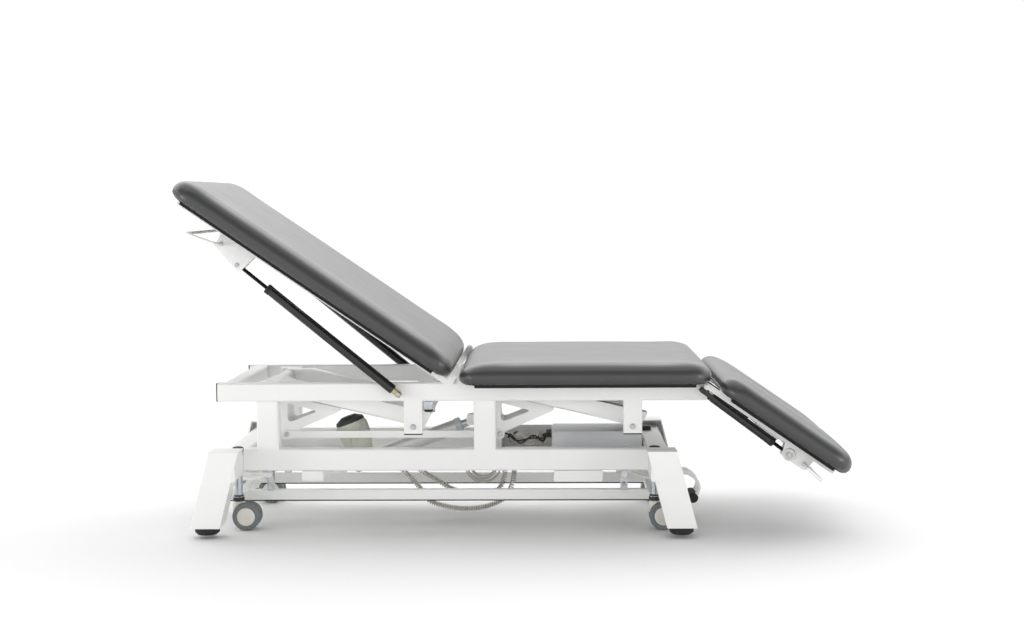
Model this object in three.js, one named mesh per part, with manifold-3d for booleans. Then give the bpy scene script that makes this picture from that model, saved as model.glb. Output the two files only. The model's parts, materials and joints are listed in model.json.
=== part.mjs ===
// A three-section treatment table: a height-adjustable upper frame on a parallelogram lift, an
// upholstered back, seat and head section, and a base on four glides with a retractable castor
// frame. Millimetres, +Z up, +X towards the head section, the long side that faces the viewer at -Y.
// The finished group stands on z = 0 with its origin under the middle of its box.
import * as THREE from "three";
import { mergeVertices } from "three/addons/utils/BufferGeometryUtils.js";
import Module from "manifold-3d";

const wasm = await Module();
wasm.setup();

// Shared clearances and counts
const seatGap = 0.3; // between two pieces that touch
const runningGap = 0.3; // round a pin in its bore
const sideGap = 0.5; // beside an eye between two ears
const sink = 1; // how far joined pieces run into each other
const pinProud = 2; // of a pin beyond its eye
const slideGap = 3; // between parts that pass each other
const overrun = 5; // how far a cut runs past a face
const roundSides = 14;
const smallSides = 8;
const wheelSides = 20;
const degree = Math.PI / 180;

// Upper frame
const upperLength = 1307;
const upperWidth = 492;
const upperTop = 404.5;
const upperRailHeight = 50;
const upperRailWidth = 25;
const tubeCorner = 4;
const tubeWall = 2.5;
const crossTubeWidth = 40;
const crossTubeHeight = 40;
const bracketWidth = 50;
const bracketBottom = 267;

// Base
const baseCentreX = -46.5;
const legFootprintWidth = 680;
const legTopLength = 1229; // over the outer top corners of the legs
const legTopWidth = 78;
const legBottomWidth = 79;
const legDepth = 76;
const legTop = 232;
const legBottom = 29;
const legLean = 53; // how far the foot of a leg stands out beyond its top
const legWall = 4;
const footClearance = 9; // under the glides while the castors carry the table
const glideRadius = 32.5;
const beamWidth = 58;
const beamHeight = 60;
const beamTop = 212;
const beamInset = 11; // from the outer top corner of the leg to the beam
const baseRailHeight = 60;
const baseRailWidth = 40;
const baseRailTop = 222;
const baseRailOuter = 218; // from the middle to the outer face

// Lift: two sets of arms between the posts of the base and the brackets of the upper frame
const postWidth = 60;
const postTop = 401;
const postHeadroom = 21; // from the pivot to the top of the post
const leftPostInset = 67; // from the inner face of the left beam to the first pivot
const pivotSpacing = 586;
const armRun = 395.5;
const armDrop = 95;
const armHeight = 44;
const armWidth = 40;
const armRise = 15; // of the arm's middle line over the line of its pivots
const armEyeRadius = 20;
const armTail = 37; // of the arm beyond its lower pivot
const pivotPinRadius = 8;
const crankDepth = 120; // across the table
const crankWall = 24;
const crankOutset = 16; // from the pivot to the back of the crank
const crankDrop = 140; // from the pivot to the foot of the crank
const crankReach = 196; // from the pivot to the nose under the arm
const crankNoseDrop = 62;
const crankNearGap = 5; // between the arm and the crank
const torsionTubeRadius = 19.5;
const tiePivotReach = 38;
const tiePivotDrop = 130;
const tieBarHeight = 19;
const tieBarThickness = 8;

// Actuator
const driveRearReach = 185; // of the rear pivot beyond the pivot of the left-hand arms
const driveRearZ = 146;
const driveFrontDrop = 87; // of the front pivot under the pivot of the right-hand arms
const driveTubeRadius = 19;
const driveRodRadius = 11;
const driveEyeRadius = 14;
const driveEyeWidth = 18;
const driveEarThickness = 6;
const driveEarReach = 56; // of the front ears beyond the front pivot
const driveFrontPlay = 11; // round the front eye, for the swing of the actuator
const driveTubeStart = 96;
const driveTubeEnd = 350;
const motorRadius = 43;
const motorHeight = 118;
const driveMemberWidth = 57;
const driveMemberHeight = 27;
const driveMemberReach = 65.5; // from the drive member to the rear pivot

// Control unit
const controlMemberInset = 67.5; // from the end of the control box to the middle of its member
const controlMemberWidth = 131;
const controlMemberHeight = 30;
const controlNearY = 5;
const controlDepth = 160;
const controlEndGap = 2; // between the control box and the right beam
const controlLength = 253;
const controlTop = 236;
const controlLid = 12;
const trayLength = 149;
const trayWall = 3;

// Castor frame and castors
const stemInset = 10.5; // of the castor stems from the middle of the beam towards the middle of the base
const stemRoom = 68; // between the castor stems and the inner faces of the legs
const stemRadius = 11;
const capHeight = 13;
const collarRadius = 15;
const collarHeight = 13;
const castorTop = 77;
const wheelRadius = 37.5;
const wheelHubRadius = 23;
const castorTrail = 23;
const wheelWidth = 19;
const forkWidth = 12;
const axleRadius = 4;
const barHeight = 29;
const barWidth = 20;
const barBottom = 69;
const barRoom = 53; // between the castor stems and the outer faces of the bars
const barTail = 40; // of the bars beyond the castor stems
const endBarWidth = 30;
const endBarHeight = 19.5;
const linkInset = 90.5; // of the links from the middle of the beam towards the middle of the base
const linkTopZ = 145;
const linkBottomZ = 105.5;
const linkWidth = 20;
const linkThickness = 5;
const castorTravel = 12;
const linkBoltRadius = 5;

// Castor pedals
const pedalShaftRadius = 8;
const pedalSpread = 70;
const pedalThickness = 8;
const pedalBand = 18;
const treadRadius = 13;

// Sections: hinges, frames and cushions
const cushionWidth = 700;
const cushionHeight = 56;
const crownHeight = 4;
const cushionCorner = 62;
const hingeEyeRadius = 9;
const hingePinRadius = 5;
const hingeEarWidth = 7;
const hingePlay = 3; // round the hinge ears in the pockets of the cushions
const backHingeReach = 650.9; // from the foot end of the upper rails to the hinge of the back section
const backHingeZ = 448;
const backAngle = 34.36; // above the horizontal in the rest pose
const backNearGap = 7.4; // from the hinge to the cushion of the back section
const backLength = 881;
const seatNearGap = 4.4; // from the hinge to the seat, which hangs over it
const seatOverhang = 9.5; // beyond the head end of the upper rails
const headHingeInset = 2.5; // from the head end of the upper rails
const headHingeZ = 395;
const headAngle = 34.5; // below the horizontal in the rest pose
const headNearGap = 21; // from the hinge to the cushion of the head section
const headLength = 413;
const faceHoleReach = 204; // from the near end of the head cushion to the middle of the hole
const faceHoleLength = 205;
const faceHoleWidth = 120;
const sideTop = 404;
const sideBottom = 389;
const sideInner = 250;
const sideOuter = 281;
const sideWall = 4;
const flatBarThickness = 4.6;
const flatBarWidth = 40;
const barEndInset = 30; // of the side members from the ends of the cushions

// Gas springs and release bars
const springY = 263;
const springRodRadius = 5;
const springEyeRadius = 9.5;
const springEyeWidth = 8;
const springForkRadius = 8;
const springForkHalf = 6;
const springForkWidth = 20;
const springPinRadius = 4.5;
const backSpringFootReach = 164.4; // from the back hinge to the foot of its gas springs
const backSpringFootZ = 376;
const backSpringHeadReach = 637; // from the back hinge, with the section flat
const backSpringHeadZ = 343.9;
const backSpringRadius = 13;
const backSpringStart = 17;
const backSpringEnd = 446;
const backRodStart = 190;
const headSpringFootReach = 11; // from the head hinge to the foot of its gas springs
const headSpringFootZ = 383;
const headSpringHeadReach = 279.7; // from the head hinge, with the section flat
const headSpringHeadZ = 367.6;
const headSpringRadius = 12;
const headSpringStart = 28;
const headSpringEnd = 233;
const headRodStart = 80;
const plateThickness = 3;
const releaseBarRadius = 5;
const releaseBarY = 330;
const backReleaseFrom = 702.4; // from the back hinge to the release bar's pivot
const backReleaseZ = 366.9;
const backReleaseReach = -85;
const backReleaseDrop = 23;
const headReleaseFrom = 327.3; // from the head hinge to the release bar's pivot
const headReleaseZ = 368.8;
const headReleaseReach = 52;
const headReleaseDrop = 8;

// Cords
const curlRadius = 5.6; // from the middle of the cord to the middle of its wire
const curlWire = 2.3;
const curlSteps = 6;
const wireSides = 4;
const coilWire = 2.2;
const coilRadius = 44;
const coilWander = 4; // of the radius from loop to loop
const coilPitch = 6;
const coilLoops = 4;
const coilSteps = 14;
const coilX = 45;
const coilY = 24;
const coilZ = 138;

// Places worked out from the sizes above
const upperBottom = upperTop - upperRailHeight;
const upperHalf = upperWidth / 2;
const upperInner = upperHalf - upperRailWidth;
const pivotZ = postTop - postHeadroom;
const bracketPivotZ = pivotZ - armDrop;
const armSlope = Math.atan2(armDrop, armRun);
const armLength = Math.hypot(armRun, armDrop);
const postY = baseRailOuter - baseRailWidth / 2;
const armOuter = baseRailOuter - baseRailWidth - slideGap;
const armInner = armOuter - armWidth;
const crankNear = armInner - crankNearGap;
const crankMiddle = crankNear - crankDepth / 2;
const baseRailBottom = baseRailTop - baseRailHeight;
const beamOffset = legTopLength / 2 - beamInset - beamWidth / 2;
const beamInnerOffset = beamOffset - beamWidth / 2;
const baseRailHalf = beamInnerOffset - seatGap;
const leftPivotX = baseCentreX - beamInnerOffset + leftPostInset;
const rightPivotX = leftPivotX + pivotSpacing;
const driveRearX = leftPivotX + driveRearReach;
const driveMemberX = driveRearX - driveMemberReach;
const controlRightX = baseCentreX + beamInnerOffset - controlEndGap;
const controlLeftX = controlRightX - controlLength;
const controlMemberX = controlLeftX + controlMemberInset;
const stemOffset = beamOffset - stemInset;
const stemY = legFootprintWidth / 2 - legDepth - stemRoom;
const barOuter = stemY - barRoom;
const linkOffset = beamOffset - linkInset;
const barTop = barBottom + barHeight;
const backHingeX = backHingeReach - upperLength / 2;
const backNearX = backHingeX - backNearGap;
const backFarX = backNearX - backLength;
const seatLeftX = backHingeX - seatNearGap;
const seatRightX = upperLength / 2 + seatOverhang;
const headHingeX = upperLength / 2 - headHingeInset;
const headNearX = headHingeX + headNearGap;
const headFarX = headNearX + headLength;
const faceHoleX = headNearX + faceHoleReach;
const backSpringFootX = backHingeX - backSpringFootReach;
const backSpringHeadX = backHingeX - backSpringHeadReach;
const headSpringFootX = headHingeX - headSpringFootReach;
const headSpringHeadX = headHingeX + headSpringHeadReach;
const backReleaseX = backHingeX - backReleaseFrom;
const headReleaseX = headHingeX + headReleaseFrom;
const cushionBottom = upperTop + seatGap;
const sectionTop = cushionBottom + flatBarThickness;
const plateInnerY = upperHalf + 1;
const driveFrontX = rightPivotX;
const driveFrontZ = pivotZ - driveFrontDrop;
const driveLength = Math.hypot(driveFrontX - driveRearX, driveFrontZ - driveRearZ);

// Solids

/** Turns a closed three.js geometry into a manifold solid. */
function solid(geometry) {
  const bare = geometry.index ? geometry.toNonIndexed() : geometry.clone();
  for (const name of Object.keys(bare.attributes)) if (name !== "position") bare.deleteAttribute(name);
  const merged = mergeVertices(bare, 1e-4);
  const made = new wasm.Manifold(
    new wasm.Mesh({
      numProp: 3,
      vertProperties: merged.attributes.position.array,
      triVerts: new Uint32Array(merged.index.array),
    }),
  );
  return made;
}

/** Turns a manifold solid back into a three.js geometry. */
function geometryOf(body) {
  const mesh = body.getMesh();
  const places = new Float32Array(mesh.numVert * 3);
  for (let i = 0; i < mesh.numVert; i++) {
    for (let k = 0; k < 3; k++) places[3 * i + k] = mesh.vertProperties[i * mesh.numProp + k];
  }
  const geometry = new THREE.BufferGeometry();
  geometry.setAttribute("position", new THREE.BufferAttribute(places, 3));
  geometry.setIndex(new THREE.BufferAttribute(new Uint32Array(mesh.triVerts), 1));
  const flat = geometry.toNonIndexed();
  flat.computeVertexNormals();
  return flat;
}

/** Joins any number of overlapping solids. */
function join(...bodies) {
  return bodies.reduce((sum, body) => sum.add(body));
}

/** Cuts solids out of a body. */
function cut(body, ...tools) {
  return tools.reduce((rest, tool) => rest.subtract(tool), body);
}

/** A box between two corners. */
function box(x0, x1, y0, y1, z0, z1) {
  const geometry = new THREE.BoxGeometry(x1 - x0, y1 - y0, z1 - z0);
  return solid(geometry.translate((x0 + x1) / 2, (y0 + y1) / 2, (z0 + z1) / 2));
}

/** A cylinder along Y. */
function rodY(x, z, radius, y0, y1, sides = roundSides) {
  const geometry = new THREE.CylinderGeometry(radius, radius, y1 - y0, sides);
  return solid(geometry.translate(x, (y0 + y1) / 2, z));
}

/** The radius of a faceted bore whose flats clear a pin all round. */
function bored(pinRadius, count = smallSides) {
  return (pinRadius + runningGap) / Math.cos(Math.PI / count);
}

/** A turned piece about a vertical axis, from [radius, height] pairs that start and end on the axis. */
function turnedZ(x, y, profile, sides = roundSides) {
  const points = profile.map(([radius, height]) => new THREE.Vector2(radius, height));
  const geometry = new THREE.LatheGeometry(points, sides);
  return solid(geometry.rotateX(Math.PI / 2).translate(x, y, 0));
}

/** A turned piece along Y, from [radius, y] pairs that start and end on the axis. */
function turnedY(x, z, profile, sides = roundSides) {
  const points = profile.map(([radius, height]) => new THREE.Vector2(radius, height));
  const geometry = new THREE.LatheGeometry(points, sides);
  return solid(geometry.translate(x, 0, z));
}

/** An outline of [x, z, corner radius] points, with its corners rounded. */
function roundedOutline(points) {
  const shape = new THREE.Shape();
  points.forEach(([x, z, radius], i) => {
    const corner = new THREE.Vector2(x, z);
    const before = points[(i + points.length - 1) % points.length];
    const after = points[(i + 1) % points.length];
    const toBefore = new THREE.Vector2(before[0] - x, before[1] - z).normalize();
    const toAfter = new THREE.Vector2(after[0] - x, after[1] - z).normalize();
    const half = Math.acos(THREE.MathUtils.clamp(toBefore.dot(toAfter), -1, 1)) / 2;
    const setback = radius ? radius / Math.tan(half) : 0;
    const start = corner.clone().addScaledVector(toBefore, setback);
    const end = corner.clone().addScaledVector(toAfter, setback);
    if (i === 0) shape.moveTo(start.x, start.y);
    else shape.lineTo(start.x, start.y);
    if (radius) shape.quadraticCurveTo(x, z, end.x, end.y);
  });
  return shape;
}

/** A plate with an outline in the XZ plane, between two values of Y. */
function plateY(shape, y0, y1, steps = 3) {
  const geometry = new THREE.ExtrudeGeometry(shape, { depth: y1 - y0, bevelEnabled: false, curveSegments: steps });
  return solid(geometry.rotateX(Math.PI / 2).translate(0, y1, 0));
}

/** A rectangular outline with rounded corners, round the origin. */
function tubeOutline(width, height, corner) {
  const w = width / 2;
  const h = height / 2;
  return roundedOutline([
    [-w, -h, corner],
    [w, -h, corner],
    [w, h, corner],
    [-w, h, corner],
  ]);
}

/** A square tube along X with rounded edges. */
function railX(x0, x1, y, z, width, height, corner = tubeCorner) {
  const shape = tubeOutline(width, height, corner);
  const geometry = new THREE.ExtrudeGeometry(shape, { depth: x1 - x0, bevelEnabled: false, curveSegments: 1 });
  return solid(geometry.rotateX(Math.PI / 2).rotateZ(Math.PI / 2).translate(x0, y, z));
}

/** A square tube along Y with rounded edges. */
function railY(y0, y1, x, z, width, height, corner = tubeCorner) {
  const shape = tubeOutline(width, height, corner);
  const geometry = new THREE.ExtrudeGeometry(shape, { depth: y1 - y0, bevelEnabled: false, curveSegments: 1 });
  return solid(geometry.rotateX(Math.PI / 2).translate(x, y1, z));
}

/** An upright square tube with rounded edges. */
function railZ(z0, z1, x, y, width, depth, corner = tubeCorner) {
  const shape = tubeOutline(width, depth, corner);
  const geometry = new THREE.ExtrudeGeometry(shape, { depth: z1 - z0, bevelEnabled: false, curveSegments: 1 });
  return solid(geometry.translate(x, y, z0));
}

/** A round bar along a curve. */
function roundBar(curve, radius, steps, sides = 10) {
  const shape = new THREE.Shape();
  shape.absarc(0, 0, radius, 0, 2 * Math.PI, false);
  return solid(new THREE.ExtrudeGeometry(shape, { steps, extrudePath: curve, curveSegments: sides }));
}

/** A chain of straight lengths whose corners are rounded off. */
function bentPath(points, bend) {
  const path = new THREE.CurvePath();
  const places = points.map((p) => new THREE.Vector3(...p));
  let from = places[0];
  for (let i = 1; i < places.length - 1; i++) {
    const back = places[i - 1].clone().sub(places[i]).setLength(bend);
    const ahead = places[i + 1].clone().sub(places[i]).setLength(bend);
    const start = places[i].clone().add(back);
    const end = places[i].clone().add(ahead);
    path.add(new THREE.LineCurve3(from, start));
    path.add(new THREE.QuadraticBezierCurve3(start, places[i], end));
    from = end;
  }
  path.add(new THREE.LineCurve3(from, places[places.length - 1]));
  return path;
}

/** Moves a solid built along +X from the origin so that it runs from one point to another in XZ. */
function aimedXZ(body, fromX, fromZ, toX, toZ) {
  const angle = Math.atan2(toZ - fromZ, toX - fromX) / degree;
  return body.rotate([0, -angle, 0]).translate([fromX, 0, fromZ]);
}

/** A turned piece along +X from the origin at a given Y, from [radius, x] pairs. */
function turnedX(y, profile, sides = roundSides) {
  const points = profile.map(([radius, length]) => new THREE.Vector2(radius, length));
  const geometry = new THREE.LatheGeometry(points, sides);
  return solid(geometry.rotateZ(-Math.PI / 2).translate(0, y, 0));
}

// Materials

const finish = {
  white: new THREE.MeshStandardMaterial({ color: 0xf2f2ef, roughness: 0.45 }),
  vinyl: new THREE.MeshStandardMaterial({ color: 0x53575a, roughness: 0.42 }),
  zinc: new THREE.MeshStandardMaterial({ color: 0xb9bec2, roughness: 0.35, metalness: 0.9 }),
  black: new THREE.MeshStandardMaterial({ color: 0x17181a, roughness: 0.5 }),
  motor: new THREE.MeshStandardMaterial({ color: 0xa9ada3, roughness: 0.6 }),
  rubber: new THREE.MeshStandardMaterial({ color: 0x202123, roughness: 0.85 }),
  tyre: new THREE.MeshStandardMaterial({ color: 0x6d7275, roughness: 0.75 }),
  control: new THREE.MeshStandardMaterial({ color: 0xc9cdd6, roughness: 0.5 }),
  cord: new THREE.MeshStandardMaterial({ color: 0xb4b0a8, roughness: 0.6 }),
};

const table = new THREE.Group();

/** Adds one named piece to a group. */
function add(group, name, body, material) {
  const mesh = new THREE.Mesh(geometryOf(body), material.clone());
  mesh.name = name;
  group.add(mesh);
  return mesh;
}

const sides = [
  ["near", -1],
  ["far", 1],
];
const ends = [
  ["left", -1],
  ["right", 1],
];

// Base frame

/** A cylinder along Y between two distances from the middle, on one side of the table. */
function pin(side, x, z, radius, from, to, count = smallSides) {
  return rodY(x, z, radius, Math.min(side * from, side * to), Math.max(side * from, side * to), count);
}

/** A plate with an outline in the XZ plane between two distances from the middle, on one side. */
function sidePlate(side, shape, from, to) {
  return plateY(shape, Math.min(side * from, side * to), Math.max(side * from, side * to));
}

/** A box on one side of the table, between two distances from the middle. */
function sideBox(side, x0, x1, from, to, z0, z1) {
  return box(Math.min(x0, x1), Math.max(x0, x1), Math.min(side * from, side * to), Math.max(side * from, side * to),
    z0, z1);
}

/** A base rail with its two posts and the fixed pivot pins of the lift. */
function baseRail(side) {
  const y = side * postY;
  const pieces = [
    railX(baseCentreX - baseRailHalf, baseCentreX + baseRailHalf, y, baseRailTop - baseRailHeight / 2,
      baseRailWidth, baseRailHeight),
  ];
  for (const x of [leftPivotX, rightPivotX]) {
    pieces.push(railZ(baseRailTop - tubeCorner, postTop, x, y, postWidth, baseRailWidth));
    pieces.push(pin(side, x, pivotZ, pivotPinRadius, armInner + sink, postY));
  }
  return join(...pieces);
}

/** A slanted leg folded from sheet, open towards the middle, with a closing plate over the glide. */
function leg(side, end) {
  const outerTop = baseCentreX + (end * legTopLength) / 2;
  const innerTop = outerTop - end * legTopWidth;
  const outerFoot = outerTop + end * legLean;
  const innerFoot = outerFoot - end * legBottomWidth;
  const outer = roundedOutline([
    [innerFoot, legBottom, 0],
    [innerTop, legTop, 0],
    [outerTop, legTop, 0],
    [outerFoot, legBottom, 0],
  ]);
  const wall = end * legWall;
  const slope = (end * legLean * legWall) / (legTop - legBottom);
  const cavity = roundedOutline([
    [innerFoot + wall - slope, legBottom + legWall, 0],
    [innerTop + wall + slope, legTop - legWall, 0],
    [outerTop - wall + slope, legTop - legWall, 0],
    [outerFoot - wall - slope, legBottom + legWall, 0],
  ]);
  const face = legFootprintWidth / 2;
  return cut(
    sidePlate(side, outer, face - legDepth, face),
    sidePlate(side, cavity, face - legDepth - overrun, face - legWall),
  );
}

/** One end of the base: a beam that runs into a leg at either side, with holes for the castor stems. */
function endFrame(end) {
  const x = baseCentreX + end * beamOffset;
  const half = legFootprintWidth / 2 - legWall / 2;
  const beam = railY(-half, half, x, beamTop - beamHeight / 2, beamWidth, beamHeight);
  const stemX = baseCentreX + end * stemOffset;
  const hole = (y) => turnedZ(stemX, y, [
    [0, beamTop - beamHeight - overrun],
    [bored(stemRadius), beamTop - beamHeight - overrun],
    [bored(stemRadius), beamTop + overrun],
    [0, beamTop + overrun],
  ], smallSides);
  return cut(join(beam, leg(-1, end), leg(1, end)), hole(-stemY), hole(stemY));
}

/** A levelling glide: a rubber foot with a rounded tread under the leg. */
function glide(side, end) {
  const x = baseCentreX + end * (legTopLength / 2 + legLean - legBottomWidth / 2);
  const y = side * (legFootprintWidth / 2 - legDepth / 2);
  const top = legBottom - seatGap;
  const height = top - footClearance;
  return turnedZ(x, y, [
    [0, footClearance],
    [glideRadius * 0.8, footClearance],
    [glideRadius, footClearance + height * 0.3],
    [glideRadius, top],
    [0, top],
  ]);
}

for (const [endName, end] of ends) {
  add(table, `end_frame_${endName}`, endFrame(end), finish.white);
  for (const [sideName, side] of sides) {
    add(table, `glide_${sideName}_${endName}`, glide(side, end), finish.rubber);
  }
}
for (const [sideName, side] of sides) add(table, `base_rail_${sideName}`, baseRail(side), finish.white);

/** A member across the base, under the rails. */
function crossMember(x, width, height) {
  const top = baseRailBottom - seatGap;
  return railY(-baseRailOuter, baseRailOuter, x, top - height / 2, width, height, tubeCorner / 2);
}

/** The drive member with the two ears and the pin that hold the rear eye of the actuator. */
function driveMember() {
  const earInner = driveEyeWidth / 2 + sideGap;
  const pieces = [crossMember(driveMemberX, driveMemberWidth, driveMemberHeight)];
  for (const side of [-1, 1]) {
    const y0 = -crankMiddle + Math.min(side * earInner, side * (earInner + driveEarThickness));
    const y1 = y0 + driveEarThickness;
    pieces.push(box(driveMemberX, driveRearX, y0, y1, driveRearZ - driveEyeRadius * 0.7,
      driveRearZ + driveEyeRadius * 0.7));
    pieces.push(rodY(driveRearX, driveRearZ, driveEyeRadius, y0, y1));
  }
  pieces.push(rodY(driveRearX, driveRearZ, pivotPinRadius, -crankMiddle - earInner - sink, -crankMiddle + earInner + sink,
    smallSides));
  return join(...pieces);
}

add(table, "drive_member", driveMember(), finish.white);
add(table, "control_member", crossMember(controlMemberX, controlMemberWidth, controlMemberHeight), finish.white);

// Control unit

/** The closed control box with a lid that stands out a little. */
function controlBox() {
  const x0 = controlLeftX + seatGap;
  const x1 = controlLeftX + controlLength;
  const y1 = controlNearY + controlDepth;
  const lid = controlTop - controlLid;
  const ledge = 1.5;
  return join(
    box(x0, x1 - ledge, controlNearY + ledge, y1 - ledge, baseRailBottom, lid),
    box(x0, x1, controlNearY, y1, lid - ledge, controlTop),
  );
}

/** The tray that gathers the cables beside the control box, open above and towards the viewer. */
function cableTray() {
  const x0 = controlLeftX - trayLength;
  const y1 = controlNearY + controlDepth;
  const outer = box(x0, controlLeftX, controlNearY, y1, baseRailBottom, controlTop - trayWall);
  const inside = box(x0 + trayWall, controlLeftX - trayWall, controlNearY - overrun, y1 - trayWall,
    baseRailBottom + trayWall, controlTop + overrun);
  return cut(outer, inside);
}

add(table, "control_box", controlBox(), finish.control);
add(table, "cable_tray", cableTray(), finish.white);

// Lift arms

/** An arm: a straight tube above the line of its pivots, flat on top at the post, with two bores. */
function liftArm(pivotX, side) {
  const along = (s, t, radius) => [
    pivotX + s * Math.cos(armSlope) + t * Math.sin(armSlope),
    pivotZ - s * Math.sin(armSlope) + t * Math.cos(armSlope),
    radius,
  ];
  const half = armHeight / 2;
  const start = -armEyeRadius * 0.5;
  const end = armLength + armTail;
  const outline = roundedOutline([
    along(start, armRise - half, 2),
    along(end - half * 0.5, armRise - half, 3),
    along(end, armRise + half, 3),
    along(start, armRise + half, 2),
  ]);
  const [endX, endZ] = along(armLength, 0, 0);
  const reach = armHeight * 3;
  const body = join(
    sidePlate(side, outline, armInner, armOuter),
    pin(side, pivotX, pivotZ, armEyeRadius, armInner, armOuter, roundSides),
    pin(side, endX, endZ, armEyeRadius * 0.9, armInner, armOuter, roundSides),
  );
  const bore = (x, z) => pin(side, x, z, bored(pivotPinRadius), armInner - overrun, armOuter + overrun);
  const above = sideBox(side, pivotX - reach, pivotX + reach, armInner - overrun, armOuter + overrun, postTop,
    postTop + reach);
  return cut(body, above, bore(pivotX, pivotZ), bore(endX, endZ));
}

/** A crank: a bent ring under the arms, on the torsion tube that joins both arms. */
function crank(pivotX, holdsDrive) {
  const at = (dx, dz, radius) => [pivotX + dx, pivotZ + dz, radius];
  const y0 = -crankNear;
  const y1 = y0 + crankDepth;
  const head = postHeadroom - 1;
  const outer = roundedOutline([
    at(-head, head, head * 0.6),
    at(-head, -head, head * 0.6),
    at(crankOutset, -crankDrop * 0.4, crankWall * 0.5),
    at(crankOutset, -crankDrop, crankWall * 0.8),
    at(crankReach, -crankNoseDrop, crankWall * 0.4),
    at(head, head, head * 0.5),
  ]);
  const innerLeft = crankOutset + crankWall;
  const opening = roundedOutline([
    at(innerLeft, -crankDrop * 0.32, crankWall * 0.15),
    at(innerLeft, -crankDrop + crankWall * 1.68, crankWall * 0.5),
    at(crankReach * 0.63, -crankNoseDrop - crankWall * 0.2, crankWall * 0.15),
  ]);
  let body = cut(plateY(outer, y0, y1), plateY(opening, y0 - overrun, y1 + overrun));
  if (holdsDrive) {
    const earInner = driveEyeWidth / 2 + 2;
    const earRadius = driveEyeRadius * 1.3;
    body = cut(body, rodY(pivotX, driveFrontZ, driveEyeRadius + driveFrontPlay, -crankMiddle - earInner,
      -crankMiddle + earInner));
    for (const side of [-1, 1]) {
      const ear0 = -crankMiddle + Math.min(side * earInner, side * (earInner + driveEarThickness));
      const ear = plateY(roundedOutline([
        at(-driveEarReach, -driveFrontDrop - earRadius * 1.5, earRadius * 0.4),
        at(crankOutset + crankWall / 2, -driveFrontDrop - earRadius, 0),
        at(crankOutset + crankWall / 2, -driveFrontDrop + earRadius, 0),
        at(-driveEarReach, -driveFrontDrop + earRadius * 0.1, earRadius * 0.4),
      ]), ear0, ear0 + driveEarThickness);
      body = join(body, ear);
    }
  }
  const tubeHalf = armInner - seatGap;
  return join(
    body,
    rodY(pivotX, pivotZ, torsionTubeRadius, -tubeHalf, tubeHalf),
    rodY(pivotX + tiePivotReach, pivotZ - tiePivotDrop, pivotPinRadius * 0.9, y0 - tieBarThickness - pinProud, y0 + sink,
      smallSides),
  );
}

for (const [endName, pivotX] of [["left", leftPivotX], ["right", rightPivotX]]) {
  for (const [sideName, side] of sides) {
    add(table, `lift_arm_${sideName}_${endName}`, liftArm(pivotX, side), finish.white);
  }
  add(table, `crank_${endName}`, crank(pivotX, endName === "right"), finish.white);
}

/** The flat bar that keeps both cranks parallel. */
function tieBar() {
  const z = pivotZ - tiePivotDrop;
  const x0 = leftPivotX + tiePivotReach;
  const x1 = rightPivotX + tiePivotReach;
  const y1 = -crankNear - seatGap;
  const y0 = y1 - tieBarThickness;
  const eye = tieBarHeight * 0.7;
  const bar = join(
    box(x0, x1, y0, y1, z - tieBarHeight / 2, z + tieBarHeight / 2),
    rodY(x0, z, eye, y0, y1),
    rodY(x1, z, eye, y0, y1),
  );
  const bore = (x) => rodY(x, z, bored(pivotPinRadius * 0.9), y0 - overrun, y1 + overrun, smallSides);
  return cut(bar, bore(x0), bore(x1));
}

add(table, "tie_bar", tieBar(), finish.white);

// Actuator

/** The housing: rear eye, gear case, upright motor and outer tube. */
function driveHousing() {
  const y = -crankMiddle;
  const gear = driveTubeRadius * 1.4;
  const stand = driveTubeRadius * 0.6;
  const boreStart = driveTubeStart * 1.25;
  const body = join(
    rodY(0, 0, driveEyeRadius, y - driveEyeWidth / 2, y + driveEyeWidth / 2),
    box(-driveEyeRadius * 0.2, driveTubeStart * 0.5, y - driveEyeWidth / 2, y + driveEyeWidth / 2,
      -driveEyeRadius * 0.7, driveEyeRadius * 0.7),
    turnedX(y, [
      [0, driveTubeStart * 0.24],
      [driveEyeRadius * 0.9, driveTubeStart * 0.24],
      [gear, driveTubeStart * 0.36],
      [gear, driveTubeStart],
      [driveTubeRadius * 1.2, driveTubeStart * 1.16],
      [driveTubeRadius, driveTubeStart * 1.2],
      [driveTubeRadius, driveTubeEnd - 12],
      [driveTubeRadius * 1.1, driveTubeEnd - 11],
      [driveTubeRadius * 1.1, driveTubeEnd],
      [0, driveTubeEnd],
    ]),
    turnedZ(driveTubeStart * 0.66, y, [
      [0, stand],
      [motorRadius * 0.72, stand],
      [motorRadius * 0.8, stand + motorHeight * 0.18],
      [motorRadius, stand + motorHeight * 0.42],
      [motorRadius, stand + motorHeight * 0.8],
      [motorRadius * 0.86, stand + motorHeight * 0.93],
      [motorRadius * 0.5, stand + motorHeight],
      [0, stand + motorHeight],
    ]),
  );
  const bore = turnedX(y, [
    [0, boreStart],
    [bored(driveRodRadius), boreStart],
    [bored(driveRodRadius), driveTubeEnd + overrun],
    [0, driveTubeEnd + overrun],
  ]);
  const eye = rodY(0, 0, bored(pivotPinRadius), y - driveEyeWidth, y + driveEyeWidth);
  return aimedXZ(cut(body, bore, eye), driveRearX, driveRearZ, driveFrontX, driveFrontZ);
}

/** The push rod with its front eye. */
function driveRod() {
  const y = -crankMiddle;
  const start = driveTubeStart * 1.25 + 4;
  const body = join(
    turnedX(y, [
      [0, start],
      [driveRodRadius, start],
      [driveRodRadius, driveLength],
      [0, driveLength],
    ]),
    rodY(driveLength, 0, driveEyeRadius * 0.95, y - driveEyeWidth / 2, y + driveEyeWidth / 2),
  );
  const eye = rodY(driveLength, 0, pivotPinRadius * 0.9, y - driveEyeWidth, y + driveEyeWidth, smallSides);
  return aimedXZ(cut(body, eye), driveRearX, driveRearZ, driveFrontX, driveFrontZ);
}

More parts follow.
